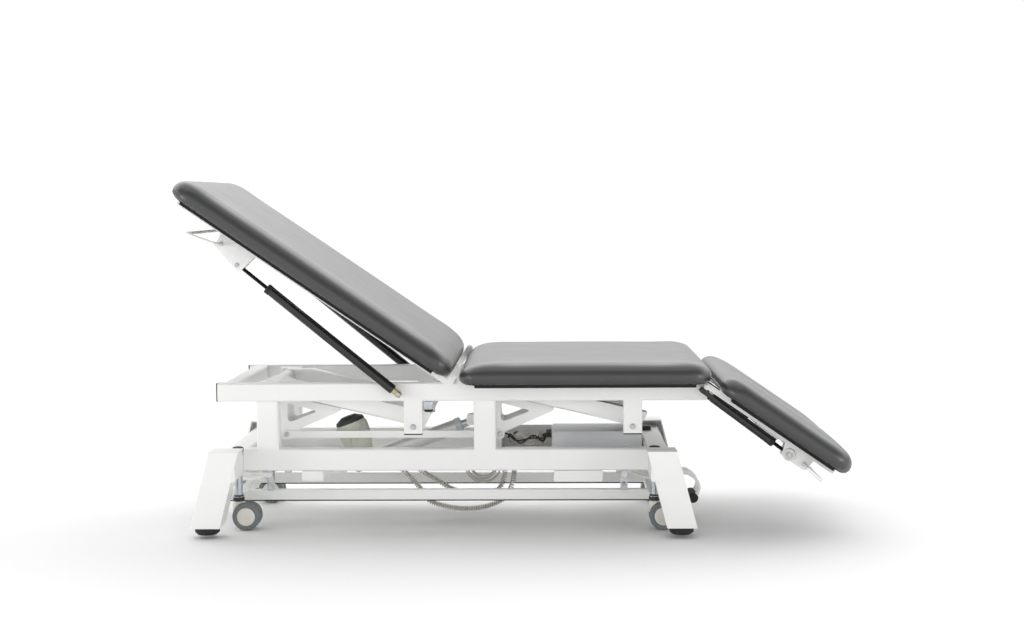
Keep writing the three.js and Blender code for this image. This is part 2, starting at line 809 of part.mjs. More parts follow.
add(table, "actuator_housing", driveHousing(), finish.motor);
add(table, "actuator_rod", driveRod(), finish.zinc);

// Upper frame

/** An upper rail: hanging brackets, hinge ears and the pins of the sections and the gas springs. */
function upperRail(side) {
  const y = side * (upperHalf - upperRailWidth / 2);
  const half = upperLength / 2;
  const pieces = [railX(-half, half, y, upperTop - upperRailHeight / 2, upperRailWidth, upperRailHeight)];
  const cavities = [];
  for (const pivotX of [leftPivotX, rightPivotX]) {
    const x = pivotX + armRun;
    const inside = bracketWidth / 2 - tubeWall;
    pieces.push(railZ(bracketBottom, upperBottom + tubeCorner, x, y, bracketWidth, upperRailWidth, tubeCorner / 2));
    cavities.push(box(x - inside, x + inside, y - upperRailWidth / 2 + tubeWall, y + upperRailWidth / 2 - tubeWall,
      bracketBottom - overrun, bracketPivotZ - pivotPinRadius - tubeWall));
    pieces.push(pin(side, x, bracketPivotZ, pivotPinRadius, armInner + sink, upperInner + upperRailWidth / 2));
    pieces.push(pin(side, x, bracketPivotZ, pivotPinRadius * 1.6, armOuter + sideGap, upperInner + upperRailWidth / 2));
  }
  const ear = box(backHingeX - hingeEyeRadius, backHingeX + hingeEyeRadius,
    Math.min(side * (upperHalf - hingeEarWidth), side * upperHalf),
    Math.max(side * (upperHalf - hingeEarWidth), side * upperHalf), upperTop - tubeCorner, backHingeZ);
  pieces.push(ear);
  pieces.push(pin(side, backHingeX, backHingeZ, hingeEyeRadius, upperHalf - hingeEarWidth, upperHalf));
  pieces.push(pin(side, backHingeX, backHingeZ, hingePinRadius, upperHalf - hingeEarWidth, sideOuter + pinProud));
  pieces.push(pin(side, headHingeX, headHingeZ, hingePinRadius, upperHalf - sink, sideOuter + pinProud));
  const footTip = springY + springForkWidth / 2 + pinProud;
  const footCollar = springY - springForkWidth / 2 - sideGap;
  for (const [x, z] of [[backSpringFootX, backSpringFootZ], [headSpringFootX, headSpringFootZ]]) {
    pieces.push(pin(side, x, z, springPinRadius, upperHalf - sink, footTip));
    pieces.push(pin(side, x, z, springPinRadius * 1.6, upperHalf - sink, footCollar));
  }
  return cut(join(...pieces), ...cavities);
}

for (const [sideName, side] of sides) add(table, `upper_rail_${sideName}`, upperRail(side), finish.white);

const crossTubeHalf = upperInner - seatGap;
const crossTubeZ = upperTop - crossTubeHeight / 2 - sink;
const crossTubeInset = crossTubeWidth / 2 + 14;
const crossTubePlaces = [
  ["foot", -upperLength / 2 + crossTubeInset],
  ["hinge", backHingeX - 20],
  ["head", upperLength / 2 - crossTubeInset],
];
for (const [name, x] of crossTubePlaces) {
  const tube = railY(-crossTubeHalf, crossTubeHalf, x, crossTubeZ, crossTubeWidth, crossTubeHeight);
  add(table, `cross_tube_${name}`, tube, finish.white);
}

// Cushions

/** One level of a cushion: a rectangle with round corners, drawn in from its full size. */
function cushionRing(x0, x1, inset, z, corner, x0Inset = inset, x1Inset = inset) {
  const perCorner = 7;
  const ring = [];
  const a0 = x0 + x0Inset;
  const a1 = x1 - x1Inset;
  const half = cushionWidth / 2 - inset;
  const radius = Math.max(corner - inset, corner * 0.3);
  const corners = [
    [a1 - radius, half - radius],
    [a0 + radius, half - radius],
    [a0 + radius, -half + radius],
    [a1 - radius, -half + radius],
  ];
  for (const [quarter, [cx, cy]] of corners.entries()) {
    for (let i = 0; i < perCorner; i++) {
      const angle = (quarter + i / (perCorner - 1)) * (Math.PI / 2);
      ring.push(new THREE.Vector3(cx + radius * Math.cos(angle), cy + radius * Math.sin(angle), z));
    }
  }
  return ring;
}

/** Skins a stack of rings and closes both ends. */
function skinned(rings) {
  const count = rings[0].length;
  const places = [];
  const triangle = (a, b, c) => places.push(...a.toArray(), ...b.toArray(), ...c.toArray());
  for (let r = 0; r + 1 < rings.length; r++) {
    for (let i = 0; i < count; i++) {
      const j = (i + 1) % count;
      triangle(rings[r][i], rings[r][j], rings[r + 1][j]);
      triangle(rings[r][i], rings[r + 1][j], rings[r + 1][i]);
    }
  }
  const middle = (ring) => ring.reduce((sum, p) => sum.add(p), new THREE.Vector3()).divideScalar(count);
  const low = middle(rings[0]);
  const high = middle(rings[rings.length - 1]);
  for (let i = 0; i < count; i++) {
    const j = (i + 1) % count;
    triangle(low, rings[0][j], rings[0][i]);
    triangle(high, rings[rings.length - 1][i], rings[rings.length - 1][j]);
  }
  const geometry = new THREE.BufferGeometry();
  geometry.setAttribute("position", new THREE.BufferAttribute(new Float32Array(places), 3));
  return solid(geometry);
}

// Levels of a cushion: [share of the height that it is drawn in, share of the height]
const cushionLevelShares = [
  [0.34, 0],
  [0.13, 0.06],
  [0.02, 0.24],
  [0.0, 0.42],
  [0.06, 0.64],
  [0.2, 0.82],
  [0.44, 0.95],
  [0.85, 1],
];

/** An upholstered panel with rounded edges and a low crown, softer at its two ends. */
function cushion(x0, x1, x0Soft, x1Soft) {
  const rings = cushionLevelShares.map(([inShare, upShare]) => {
    const inset = inShare * cushionHeight;
    const soft = (factor) => inset * (upShare > 0.5 ? factor : 1);
    return cushionRing(x0, x1, inset, cushionBottom + upShare * cushionHeight, cushionCorner, soft(x0Soft),
      soft(x1Soft));
  });
  for (const [share, rise] of [[0.36, 0.55], [0.62, 0.9]]) {
    const inset = (share * cushionWidth) / 2;
    const endInset = (share * (x1 - x0)) / 2;
    const z = cushionBottom + cushionHeight + rise * crownHeight;
    rings.push(cushionRing(x0, x1, inset, z, cushionCorner, endInset, endInset));
  }
  return skinned(rings);
}

/** The rebate in the underside of a cushion that takes the frame of its section. */
function frameRebate(x0, x1) {
  const half = sideOuter + slideGap;
  return box(x0, x1, -half, half, cushionBottom - overrun, sectionTop + seatGap);
}

/** The pockets in the end of a cushion for the ears of the back hinge. */
function hingePockets(x0, x1) {
  const top = cushionBottom + cushionHeight * 2;
  return sides.map(([, side]) => sideBox(side, x0, x1, upperHalf - hingeEarWidth - hingePlay,
    sideOuter + hingeEarWidth / 2 + hingePlay, cushionBottom - overrun, top));
}

const pocketReach = hingeEyeRadius + hingePlay;
add(table, "seat_cushion", cut(
  cushion(seatLeftX, seatRightX, 1.9, 1.2),
  ...hingePockets(seatLeftX - overrun, backHingeX + pocketReach),
), finish.vinyl);

// Back and head sections, built flat and then turned about their hinges

/** A group that turns everything built flat about a hinge. */
function section(hingeX, hingeZ, angle) {
  const outer = new THREE.Group();
  outer.position.set(hingeX, 0, hingeZ);
  outer.rotation.y = angle * degree;
  const inner = new THREE.Group();
  inner.position.set(-hingeX, 0, -hingeZ);
  outer.add(inner);
  table.add(outer);
  return inner;
}

/** A section's frame: angle-iron sides outside the rails, flat bars across, spring brackets. */
function sectionFrame({ hingeX, hingeZ, nearX, farX, barShares, springX, springZ, releaseX, releaseZ }) {
  const towards = Math.sign(farX - nearX);
  const start = nearX + towards * (hingeEyeRadius + slideGap);
  const end = farX - towards * barEndInset;
  const pieces = [];
  const bores = [];
  for (const [, side] of sides) {
    const web = sideOuter - sideWall;
    pieces.push(sideBox(side, hingeX, end, web, sideOuter, sideBottom, sideTop));
    pieces.push(sideBox(side, start, end, sideInner, sideOuter, cushionBottom, sectionTop));
    pieces.push(sideBox(side, start, end, web, sideOuter, sideTop - 1, sectionTop));
    pieces.push(pin(side, hingeX, hingeZ, hingeEyeRadius, web, sideOuter, roundSides));
    if (hingeZ > sideTop) {
      pieces.push(sideBox(side, hingeX - hingeEyeRadius, hingeX + hingeEyeRadius, web, sideOuter, sideBottom, hingeZ));
    }
    bores.push(pin(side, hingeX, hingeZ, bored(hingePinRadius), web - overrun, sideOuter + overrun));
    // The outer plate continues the web downwards and the inner plate hangs from the flange.
    const outline = roundedOutline([
      [springX - towards * 30, sectionTop - 1, 2],
      [springX - towards * 16, springZ - 14, 9],
      [releaseX + towards * 12, releaseZ - 14, 9],
      [releaseX + towards * 18, sectionTop - 1, 2],
    ]);
    pieces.push(sidePlate(side, outline, plateInnerY, plateInnerY + plateThickness));
    pieces.push(sidePlate(side, outline, web, sideOuter));
    pieces.push(sideBox(side, start, end, plateInnerY, sideInner + 1, cushionBottom, sectionTop));
    bores.push(pin(side, releaseX, releaseZ, bored(releaseBarRadius), plateInnerY - 2, sideOuter + overrun));
  }
  for (const share of barShares) {
    const x = start + share * (end - start - towards * flatBarWidth);
    pieces.push(box(Math.min(x, x + towards * flatBarWidth), Math.max(x, x + towards * flatBarWidth), -sideInner - 2,
      sideInner + 2, cushionBottom, sectionTop));
  }
  return cut(join(...pieces), ...bores);
}

/** A round bar bent into a U behind the springs, in two bores of the brackets. */
function releaseBar(pivotX, pivotZBar, reach, drop) {
  const tip = plateInnerY;
  const path = bentPath([
    [pivotX, -tip, pivotZBar],
    [pivotX, -releaseBarY, pivotZBar],
    [pivotX + reach, -releaseBarY, pivotZBar - drop],
    [pivotX + reach, releaseBarY, pivotZBar - drop],
    [pivotX, releaseBarY, pivotZBar],
    [pivotX, tip, pivotZBar],
  ], 18);
  return roundBar(path, releaseBarRadius, 34, 3);
}

const backInner = section(backHingeX, backHingeZ, backAngle);
const headInner = section(headHingeX, headHingeZ, headAngle);

add(backInner, "back_frame", sectionFrame({
  hingeX: backHingeX,
  hingeZ: backHingeZ,
  nearX: backNearX,
  farX: backFarX,
  barShares: [0, 0.5, 1],
  springX: backSpringHeadX,
  springZ: backSpringHeadZ,
  releaseX: backReleaseX,
  releaseZ: backReleaseZ,
}), finish.white);
add(backInner, "back_cushion", cut(
  cushion(backFarX, backNearX, 1.1, 1.6),
  frameRebate(backFarX + barEndInset - slideGap, backNearX - slideGap),
  ...hingePockets(backHingeX - pocketReach, backNearX + overrun),
), finish.vinyl);
add(backInner, "back_release_bar", releaseBar(backReleaseX, backReleaseZ, backReleaseReach, backReleaseDrop),
  finish.white);

add(headInner, "head_frame", sectionFrame({
  hingeX: headHingeX,
  hingeZ: headHingeZ,
  nearX: headNearX,
  farX: headFarX,
  barShares: [0, 1],
  springX: headSpringHeadX,
  springZ: headSpringHeadZ,
  releaseX: headReleaseX,
  releaseZ: headReleaseZ,
}), finish.white);

/** The face hole through the head section, flared at the top. */
function faceHole() {
  const prism = (scale, z0, z1) => {
    const shape = new THREE.Shape();
    shape.absellipse(faceHoleX, 0, (faceHoleLength / 2) * scale, (faceHoleWidth / 2) * scale, 0, 2 * Math.PI);
    const geometry = new THREE.ExtrudeGeometry(shape, { depth: z1 - z0, bevelEnabled: false, curveSegments: 16 });
    return solid(geometry.translate(0, 0, z0));
  };
  const top = cushionBottom + cushionHeight;
  const above = top + crownHeight * 2 + overrun;
  return join(
    prism(1, cushionBottom - overrun, above),
    prism(1.07, top - cushionHeight * 0.12, above),
    prism(1.15, top, above),
  );
}

add(headInner, "head_cushion", cut(
  cushion(headNearX, headFarX, 1.2, 1.2),
  frameRebate(headNearX + slideGap, headFarX - barEndInset + slideGap),
  faceHole(),
), finish.vinyl);
add(headInner, "head_release_bar", releaseBar(headReleaseX, headReleaseZ, headReleaseReach, headReleaseDrop),
  finish.white);

// Gas springs

/** Where a point of a flat section stands once the section is turned. */
function turned(hingeX, hingeZ, angle, x, z) {
  const dx = x - hingeX;
  const dz = z - hingeZ;
  const c = Math.cos(angle * degree);
  const s = Math.sin(angle * degree);
  return [hingeX + dx * c + dz * s, hingeZ - dx * s + dz * c];
}

/** A plain turned length along +X. */
function plainX(y, radius, from, to, count = smallSides) {
  return turnedX(y, [
    [0, from],
    [radius, from],
    [radius, to],
    [0, to],
  ], count);
}

/** A gas spring's cylinder with its foot, along the line from foot to head. */
function springCylinder(side, radius, start, end) {
  const y = side * springY;
  const w = springForkWidth / 2;
  return cut(
    join(
      rodY(0, 0, springForkRadius, y - w, y + w, smallSides),
      box(0, start + 2, y - w, y + w, -springForkHalf, springForkHalf),
      turnedX(y, [
        [0, start],
        [radius * 0.84, start],
        [radius, start + 4],
        [radius, end - 4],
        [radius * 0.86, end],
        [0, end],
      ]),
    ),
    rodY(0, 0, bored(springPinRadius), y - w * 2, y + w * 2, smallSides),
    plainX(y, bored(springRodRadius), start + 12, end + overrun),
  );
}

/** A gas spring's rod with its eye. */
function springRod(side, start, length) {
  const y = side * springY;
  const w = springEyeWidth / 2;
  return cut(
    join(
      plainX(y, springRodRadius, start, length),
      rodY(length, 0, springEyeRadius, y - w, y + w, smallSides),
    ),
    rodY(length, 0, bored(springPinRadius), y - w * 3, y + w * 3, smallSides),
  );
}

const springs = [
  {
    name: "back",
    head: turned(backHingeX, backHingeZ, backAngle, backSpringHeadX, backSpringHeadZ),
    foot: [backSpringFootX, backSpringFootZ],
    radius: backSpringRadius,
    start: backSpringStart,
    end: backSpringEnd,
    rodStart: backRodStart,
  },
  {
    name: "head",
    head: turned(headHingeX, headHingeZ, headAngle, headSpringHeadX, headSpringHeadZ),
    foot: [headSpringFootX, headSpringFootZ],
    radius: headSpringRadius,
    start: headSpringStart,
    end: headSpringEnd,
    rodStart: headRodStart,
  },
];
for (const { name, head, foot, radius, start, end, rodStart } of springs) {
  const length = Math.hypot(head[0] - foot[0], head[1] - foot[1]);
  for (const [sideName, side] of sides) {
    const cylinder = aimedXZ(springCylinder(side, radius, start, end), ...foot, ...head);
    const rod = aimedXZ(springRod(side, rodStart, length), ...foot, ...head);
    add(table, `${name}_spring_cylinder_${sideName}`, cylinder, finish.black);
    add(table, `${name}_spring_rod_${sideName}`, rod, finish.zinc);
  }
}

// Castor frame

/** The welded frame that carries the four castors: two bars, two end bars and the castor stems. */
function castorFrame() {
  const pieces = [];
  const x0 = baseCentreX - stemOffset;
  const x1 = baseCentreX + stemOffset;
  const barY = barOuter - barWidth / 2;
  for (const [, side] of sides) {
    pieces.push(railX(x0 - barTail, x1 + barTail, side * barY, barBottom + barHeight / 2, barWidth, barHeight,
      tubeCorner / 2));
    for (const [, end] of ends) {
      const linkX = baseCentreX + end * linkOffset;
      const ear = linkBoltRadius * 1.6;
      pieces.push(sideBox(side, linkX - ear, linkX + ear, barY - 3, barY + 3, barTop - 2, linkBottomZ + ear));
      pieces.push(pin(side, linkX, linkBottomZ, linkBoltRadius, barY, barOuter + linkThickness + 4));
    }
  }
  for (const x of [x0, x1]) {
    const half = stemY - stemRadius + 3;
    pieces.push(railY(-half, half, x, barTop - endBarHeight / 2, endBarWidth, endBarHeight, tubeCorner / 2));
    for (const [, side] of sides) {
      pieces.push(turnedZ(x, side * stemY, [
        [0, castorTop + seatGap],
        [collarRadius, castorTop + seatGap],
        [collarRadius, castorTop + collarHeight],
        [stemRadius, castorTop + collarHeight],
        [stemRadius, beamTop + seatGap],
        [stemRadius * 1.35, beamTop + seatGap],
        [stemRadius * 1.35, beamTop + capHeight - 3],
        [stemRadius * 1.1, beamTop + capHeight],
        [0, beamTop + capHeight],
      ], smallSides));
    }
  }
  return join(...pieces);
}

add(table, "castor_frame", castorFrame(), finish.white);

/** The link that hangs from the base: a bore for the pedal shaft, a slot for the castor frame's bolt. */
function hangerLink(side, end) {
  const x = baseCentreX + end * linkOffset;
  const inner = barOuter + 1;
  const outer = inner + linkThickness;
  const w = linkWidth / 2;
  const high = baseRailBottom - seatGap;
  const plate = sidePlate(side, roundedOutline([
    [x - w, linkBottomZ - w, w * 0.7],
    [x + w, linkBottomZ - w, w * 0.7],
    [x + w, high, 0],
    [x - w, high, 0],
  ]), inner, outer);
  const foot = sideBox(side, x - w, x + w, inner, baseRailOuter - 2, high - linkThickness, high);
  const slotHalf = linkBoltRadius + runningGap;
  const bore = (z, radius) => pin(side, x, z, radius, inner - overrun, outer + overrun);
  return cut(
    join(plate, foot),
    bore(linkBottomZ, slotHalf),
    bore(linkBottomZ + castorTravel, slotHalf),
    sideBox(side, x - slotHalf, x + slotHalf, inner - overrun, outer + overrun, linkBottomZ,
      linkBottomZ + castorTravel),
    bore(linkTopZ, bored(pedalShaftRadius)),
  );
}

for (const [sideName, side] of sides) {
  for (const [endName, end] of ends) {
    add(table, `hanger_link_${sideName}_${endName}`, hangerLink(side, end), finish.zinc);
  }
}

/** A castor's swivel fork: a round head over a narrow body between the twin wheels. */
function castorFork(side, end) {
  const x = baseCentreX + end * stemOffset;
  const y = side * stemY;
  const axleX = x + castorTrail;
  const w = forkWidth / 2;
  const head = turnedZ(x, y, [
    [0, castorTop - 21],
    [collarRadius, castorTop - 21],
    [collarRadius, castorTop],
    [0, castorTop],
  ]);
  const cheek = plateY(roundedOutline([
    [x - collarRadius, castorTop - 3, 2],
    [x - collarRadius, wheelRadius + 8, 8],
    [axleX - 12, wheelRadius - 12, 8],
    [axleX + 12, wheelRadius - 12, 8],
    [axleX + 20, wheelRadius + 26, 14],
    [x + collarRadius, castorTop - 3, 3],
  ]), y - w, y + w);
  const gone = wheelRadius + 2;
  return cut(
    join(head, cheek),
    rodY(axleX, wheelRadius, gone, y + w, y + w + wheelWidth + overrun),
    rodY(axleX, wheelRadius, gone, y - w - wheelWidth - overrun, y - w),
    rodY(axleX, wheelRadius, bored(axleRadius), y - w - overrun, y + w + overrun, smallSides),
  );
}

/** The twin wheels of a castor on their axle. */
function castorWheels(side, end) {
  const x = baseCentreX + end * stemOffset + castorTrail;
  const y = side * stemY;
  const inside = forkWidth / 2 + 1;
  const outside = inside + wheelWidth;
  const half = [
    [axleRadius, inside],
    [wheelRadius, inside],
    [wheelRadius, outside - 5],
    [wheelRadius * 0.9, outside - 1],
    [wheelHubRadius, outside - 1],
    [wheelHubRadius * 0.8, outside - 2.5],
    [0, outside - 2.5],
  ];
  const profile = [...half.map(([r, h]) => [r, -h]).reverse(), ...half];
  return turnedY(x, wheelRadius, profile.map(([r, h]) => [r, y + h]), wheelSides);
}

for (const [sideName, side] of sides) {
  for (const [endName, end] of ends) {
    add(table, `castor_fork_${sideName}_${endName}`, castorFork(side, end), finish.white);
    add(table, `castor_wheels_${sideName}_${endName}`, castorWheels(side, end), finish.tyre);
  }
}

// Middle line of a pedal's arm: [distance from the shaft outwards, height under the shaft]
const pedalPath = [
  [0, 0],
  [26, 20],
  [61, 32],
  [114, 33],
  [150, 21],
  [186, 23],
  [211, 46],
  [215, 70],
  [198, 91],
];

/** A foot pedal: a shaft across the base with two hooked arms and a rubber tread. */
function pedal(end) {
  const place = ([out, down]) => [baseCentreX + end * (linkOffset + out), linkTopZ - down];
  const arm = (y) => {
    const points = pedalPath.map((step) => {
      const [x, z] = place(step);
      return new THREE.Vector3(x, y, z);
    });
    const w = pedalThickness / 2;
    const shape = new THREE.Shape([
      new THREE.Vector2(-pedalBand / 2, -w),
      new THREE.Vector2(pedalBand / 2, -w),
      new THREE.Vector2(pedalBand / 2, w),
      new THREE.Vector2(-pedalBand / 2, w),
    ]);
    const path = new THREE.CatmullRomCurve3(points);
    return solid(new THREE.ExtrudeGeometry(shape, { steps: 16, extrudePath: path }));
  };
  const half = pedalSpread / 2;
  const [treadX, treadZ] = place(pedalPath[pedalPath.length - 1]);
  return join(
    rodY(baseCentreX + end * linkOffset, linkTopZ, pedalShaftRadius, -postY + baseRailWidth / 2 + 2,
      postY - baseRailWidth / 2 - 2),
    arm(-half),
    arm(half),
    rodY(treadX, treadZ, treadRadius, -half - pedalThickness, half + pedalThickness),
  );
}

for (const [endName, end] of ends) add(table, `pedal_${endName}`, pedal(end), finish.white);

// Cords

/** A tube of constant radius along a row of points, closed at both ends. */
function cordSolid(points, radius, count) {
  const places = [];
  const triangle = (a, b, c) => places.push(...a.toArray(), ...b.toArray(), ...c.toArray());
  const tangents = points.map((p, i) => {
    const before = points[Math.max(i - 1, 0)];
    const after = points[Math.min(i + 1, points.length - 1)];
    return after.clone().sub(before).normalize();
  });
  const normal = new THREE.Vector3(0, 1, 0);
  normal.addScaledVector(tangents[0], -normal.dot(tangents[0])).normalize();
  const rings = points.map((p, i) => {
    normal.addScaledVector(tangents[i], -normal.dot(tangents[i])).normalize();
    const binormal = new THREE.Vector3().crossVectors(tangents[i], normal);
    return Array.from({ length: count }, (_, k) => {
      const angle = (2 * Math.PI * k) / count;
      return p.clone()
        .addScaledVector(normal, radius * Math.cos(angle))
        .addScaledVector(binormal, radius * Math.sin(angle));
    });
  });
  for (let r = 0; r + 1 < rings.length; r++) {
    for (let i = 0; i < count; i++) {
      const j = (i + 1) % count;
      triangle(rings[r][i], rings[r][j], rings[r + 1][j]);
      triangle(rings[r][i], rings[r + 1][j], rings[r + 1][i]);
    }
  }
  const last = rings.length - 1;
  for (let i = 0; i < count; i++) {
    const j = (i + 1) % count;
    triangle(points[0], rings[0][j], rings[0][i]);
    triangle(points[last], rings[last][i], rings[last][j]);
  }
  const geometry = new THREE.BufferGeometry();
  geometry.setAttribute("position", new THREE.BufferAttribute(new Float32Array(places), 3));
  return solid(geometry);
}

/** Prints the least gap between turns that are more than half a turn apart along the cord. */
function printLeastGap(name, points, radius, perTurn) {
  let least = Infinity;
  for (let i = 0; i < points.length; i++) {
    for (let j = i + Math.ceil(perTurn / 2); j < points.length; j++) {
      least = Math.min(least, points[i].distanceTo(points[j]));
    }
  }
  console.log(`${name}: least gap to itself ${(least - 2 * radius).toFixed(2)} mm`);
}

/** The points of a curled wire along a route, straight at both ends. */
function curledPoints(route, curls) {
  const path = new THREE.CatmullRomCurve3(route.map((p) => new THREE.Vector3(...p)), false, "centripetal");
  const count = curls * curlSteps;
  const endShare = 0.07;
  const normal = new THREE.Vector3(0, 1, 0);
  const points = [];
  for (let i = 0; i <= count; i++) {
    const u = i / count;
    const tangent = path.getTangentAt(u);
    normal.addScaledVector(tangent, -normal.dot(tangent)).normalize();
    const binormal = new THREE.Vector3().crossVectors(tangent, normal);
    const reach = curlRadius * Math.min(1, u / endShare, (1 - u) / endShare);
    const angle = (2 * Math.PI * i) / curlSteps;
    points.push(path.getPointAt(u)
      .addScaledVector(normal, reach * Math.cos(angle))
      .addScaledVector(binormal, reach * Math.sin(angle)));
  }
  return points;
}

const curledCords = {
  curled_cord_low: {
    curls: 35,
    route: [
      [-207, -70, 168],
      [-190, -52, 150],
      [-172, -40, 130],
      [-130, -38, 84],
      [-106, -38, 50],
      [-60, -38, 32],
      [0, -36, 24],
      [66, -34, 33],
      [112, -28, 58],
      [132, -6, 105],
      [134, 24, 150],
      [134, 26, 161.7],
    ],
  },
  curled_cord_high: {
    curls: 28,
    route: [
      [-172, -68, 181],
      [-152, -44, 158],
      [-126, -24, 130],
      [-88, -18, 105],
      [-45, -16, 79],
      [0, -14, 62],
      [50, -12, 57],
      [88, -8, 72],
      [106, 4, 108],
      [108, 28, 150],
      [108, 30, 161.7],
    ],
  },
};
for (const [name, { route, curls }] of Object.entries(curledCords)) {
  const points = curledPoints(route, curls);
  printLeastGap(name, points, curlWire, curlSteps);
  add(table, name, cordSolid(points, curlWire, wireSides), finish.cord);
}

/** The points of the spare cable: loops side by side, both ends led to the tray. */
function coilPoints() {
  const wall = controlLeftX - trayLength - seatGap;
  const points = [];
  const lead = (dx, dy, dz) => points.push(new THREE.Vector3(wall - dx, coilY + dy, coilZ + dz));
  lead(0, 0, 44);
  lead(coilWire * 1.4, 0, 43.6);
  lead(coilWire * 2.3, 0, 39);
  lead(coilWire * 2.6, 0, 28);
  lead(coilWire * 2.6, 0, 12);
  const count = Math.round(coilLoops * coilSteps - 2);
  for (let i = 0; i <= count; i++) {
    const angle = (2 * Math.PI * i) / coilSteps;
    const radius = coilRadius + coilWander * Math.sin(angle / coilLoops);
    points.push(new THREE.Vector3(
      coilX + radius * Math.cos(angle),
      coilY + (coilPitch * i) / coilSteps,
      coilZ - radius * Math.sin(angle),
    ));
  }
  const across = (coilPitch * count) / coilSteps;
  lead(coilWire * 5, across, 44);
  lead(coilWire * 2, across, 46.6);
  lead(0, across, 46.8);
  return points;
}

const coil = coilPoints();
printLeastGap("spare_cable", coil, coilWire, coilSteps);
add(table, "spare_cable", cordSolid(coil, coilWire, wireSides), finish.cord);

// The table stands with its origin under the middle of its box.
table.updateMatrixWorld(true);
const extent = new THREE.Box3().setFromObject(table, true);
table.position.x = -(extent.min.x + extent.max.x) / 2;

export default table;
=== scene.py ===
"""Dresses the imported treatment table: finishes, upholstery, castors, fasteners, wiring and a plain studio.

Lengths are in metres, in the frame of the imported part: +X towards the head section, +Z up.
"""

import json
import logging
import math
from dataclasses import dataclass, field
from enum import Enum
from typing import ClassVar

import bpy
from mathutils import Matrix, Vector


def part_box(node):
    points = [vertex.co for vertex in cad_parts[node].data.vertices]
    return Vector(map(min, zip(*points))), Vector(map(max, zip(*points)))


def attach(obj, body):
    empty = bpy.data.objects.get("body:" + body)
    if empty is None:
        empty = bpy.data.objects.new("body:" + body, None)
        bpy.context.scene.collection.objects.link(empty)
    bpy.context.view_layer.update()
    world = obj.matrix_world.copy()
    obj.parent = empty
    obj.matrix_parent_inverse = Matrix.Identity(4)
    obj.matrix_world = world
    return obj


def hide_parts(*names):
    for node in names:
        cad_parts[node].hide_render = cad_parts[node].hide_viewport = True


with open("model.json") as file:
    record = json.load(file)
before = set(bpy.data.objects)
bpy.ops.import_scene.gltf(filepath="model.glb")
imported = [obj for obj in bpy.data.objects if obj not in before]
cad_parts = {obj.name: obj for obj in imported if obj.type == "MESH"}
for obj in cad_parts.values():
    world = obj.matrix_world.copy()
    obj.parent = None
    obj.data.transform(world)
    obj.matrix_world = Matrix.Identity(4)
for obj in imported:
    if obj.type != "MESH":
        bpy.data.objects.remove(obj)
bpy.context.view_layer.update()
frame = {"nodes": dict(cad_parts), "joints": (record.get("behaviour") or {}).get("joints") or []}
nodes = frame["nodes"]
log = logging.getLogger("treatment_table")

MM = 0.001
SIDES = {"near": -1, "far": 1}
ENDS = {"left": -1, "right": 1}
SMOOTH_ANGLE = math.radians(35)


# Small tools


def to_linear(hex_colour: str) -> tuple[float, float, float, float]:
    """Turns an sRGB hex value into linear red, green, blue and alpha.

    Args:
        hex_colour: six hex digits.

    Returns:
        The linear colour with alpha 1.
    """
    values = [int(hex_colour[i : i + 2], 16) / 255 for i in (0, 2, 4)]
    linear = [v / 12.92 if v <= 0.04045 else ((v + 0.055) / 1.055) ** 2.4 for v in values]
    return (*linear, 1.0)


def add_node(tree: bpy.types.NodeTree, kind: str, settings: dict, sockets: dict) -> bpy.types.Node:
    """Adds a node with its settings and its socket values or links.

    Args:
        tree: the node tree to add to.
        kind: the node's type name.
        settings: properties of the node by name.
        sockets: a value or a linked output for each input, by name or number.

    Returns:
        The new node.
    """
    node = tree.nodes.new(kind)
    for name, value in settings.items():
        setattr(node, name, value)
    for name, value in sockets.items():
        if isinstance(value, bpy.types.NodeSocket):
            tree.links.new(value, node.inputs[name])
        else:
            node.inputs[name].default_value = value
    return node


def select_only(*pieces: bpy.types.Object) -> None:
    """Selects these pieces alone and makes the first one active.

    Args:
        pieces: the objects to select.
    """
    if bpy.context.object and bpy.context.object.mode != "OBJECT":
        bpy.ops.object.mode_set(mode="OBJECT")
    bpy.ops.object.select_all(action="DESELECT")
    for piece in pieces:
        piece.select_set(True)
    bpy.context.view_layer.objects.active = pieces[0]


def settle(piece: bpy.types.Object) -> None:
    """Moves a piece's place, turn and scale into its mesh."""
    select_only(piece)
    bpy.ops.object.transform_apply(location=True, rotation=True, scale=True)


def apply_modifier(piece: bpy.types.Object, kind: str, **settings: object) -> None:
    """Adds a modifier to a piece, sets it and applies it.

    Args:
        piece: the object that it changes.
        kind: the modifier's type name.
        settings: properties of the modifier by name.
    """
    select_only(piece)
    modifier = piece.modifiers.new(kind.title(), kind)
    for name, value in settings.items():
        setattr(modifier, name, value)
    bpy.ops.object.modifier_apply(modifier=modifier.name)


def mm(x: float, y: float, z: float) -> Vector:
    """A point or a move given in millimetres."""
    return Vector((x * MM, y * MM, z * MM))


def joint_place(name: str) -> Vector:
    """The place of a joint at rest."""
    return Vector(next(j for j in frame["joints"] if j["name"] == name)["pos_m"])


def joint_axis(name: str) -> Vector:
    """The direction of a joint."""
    return Vector(next(j for j in frame["joints"] if j["name"] == name)["axis"])


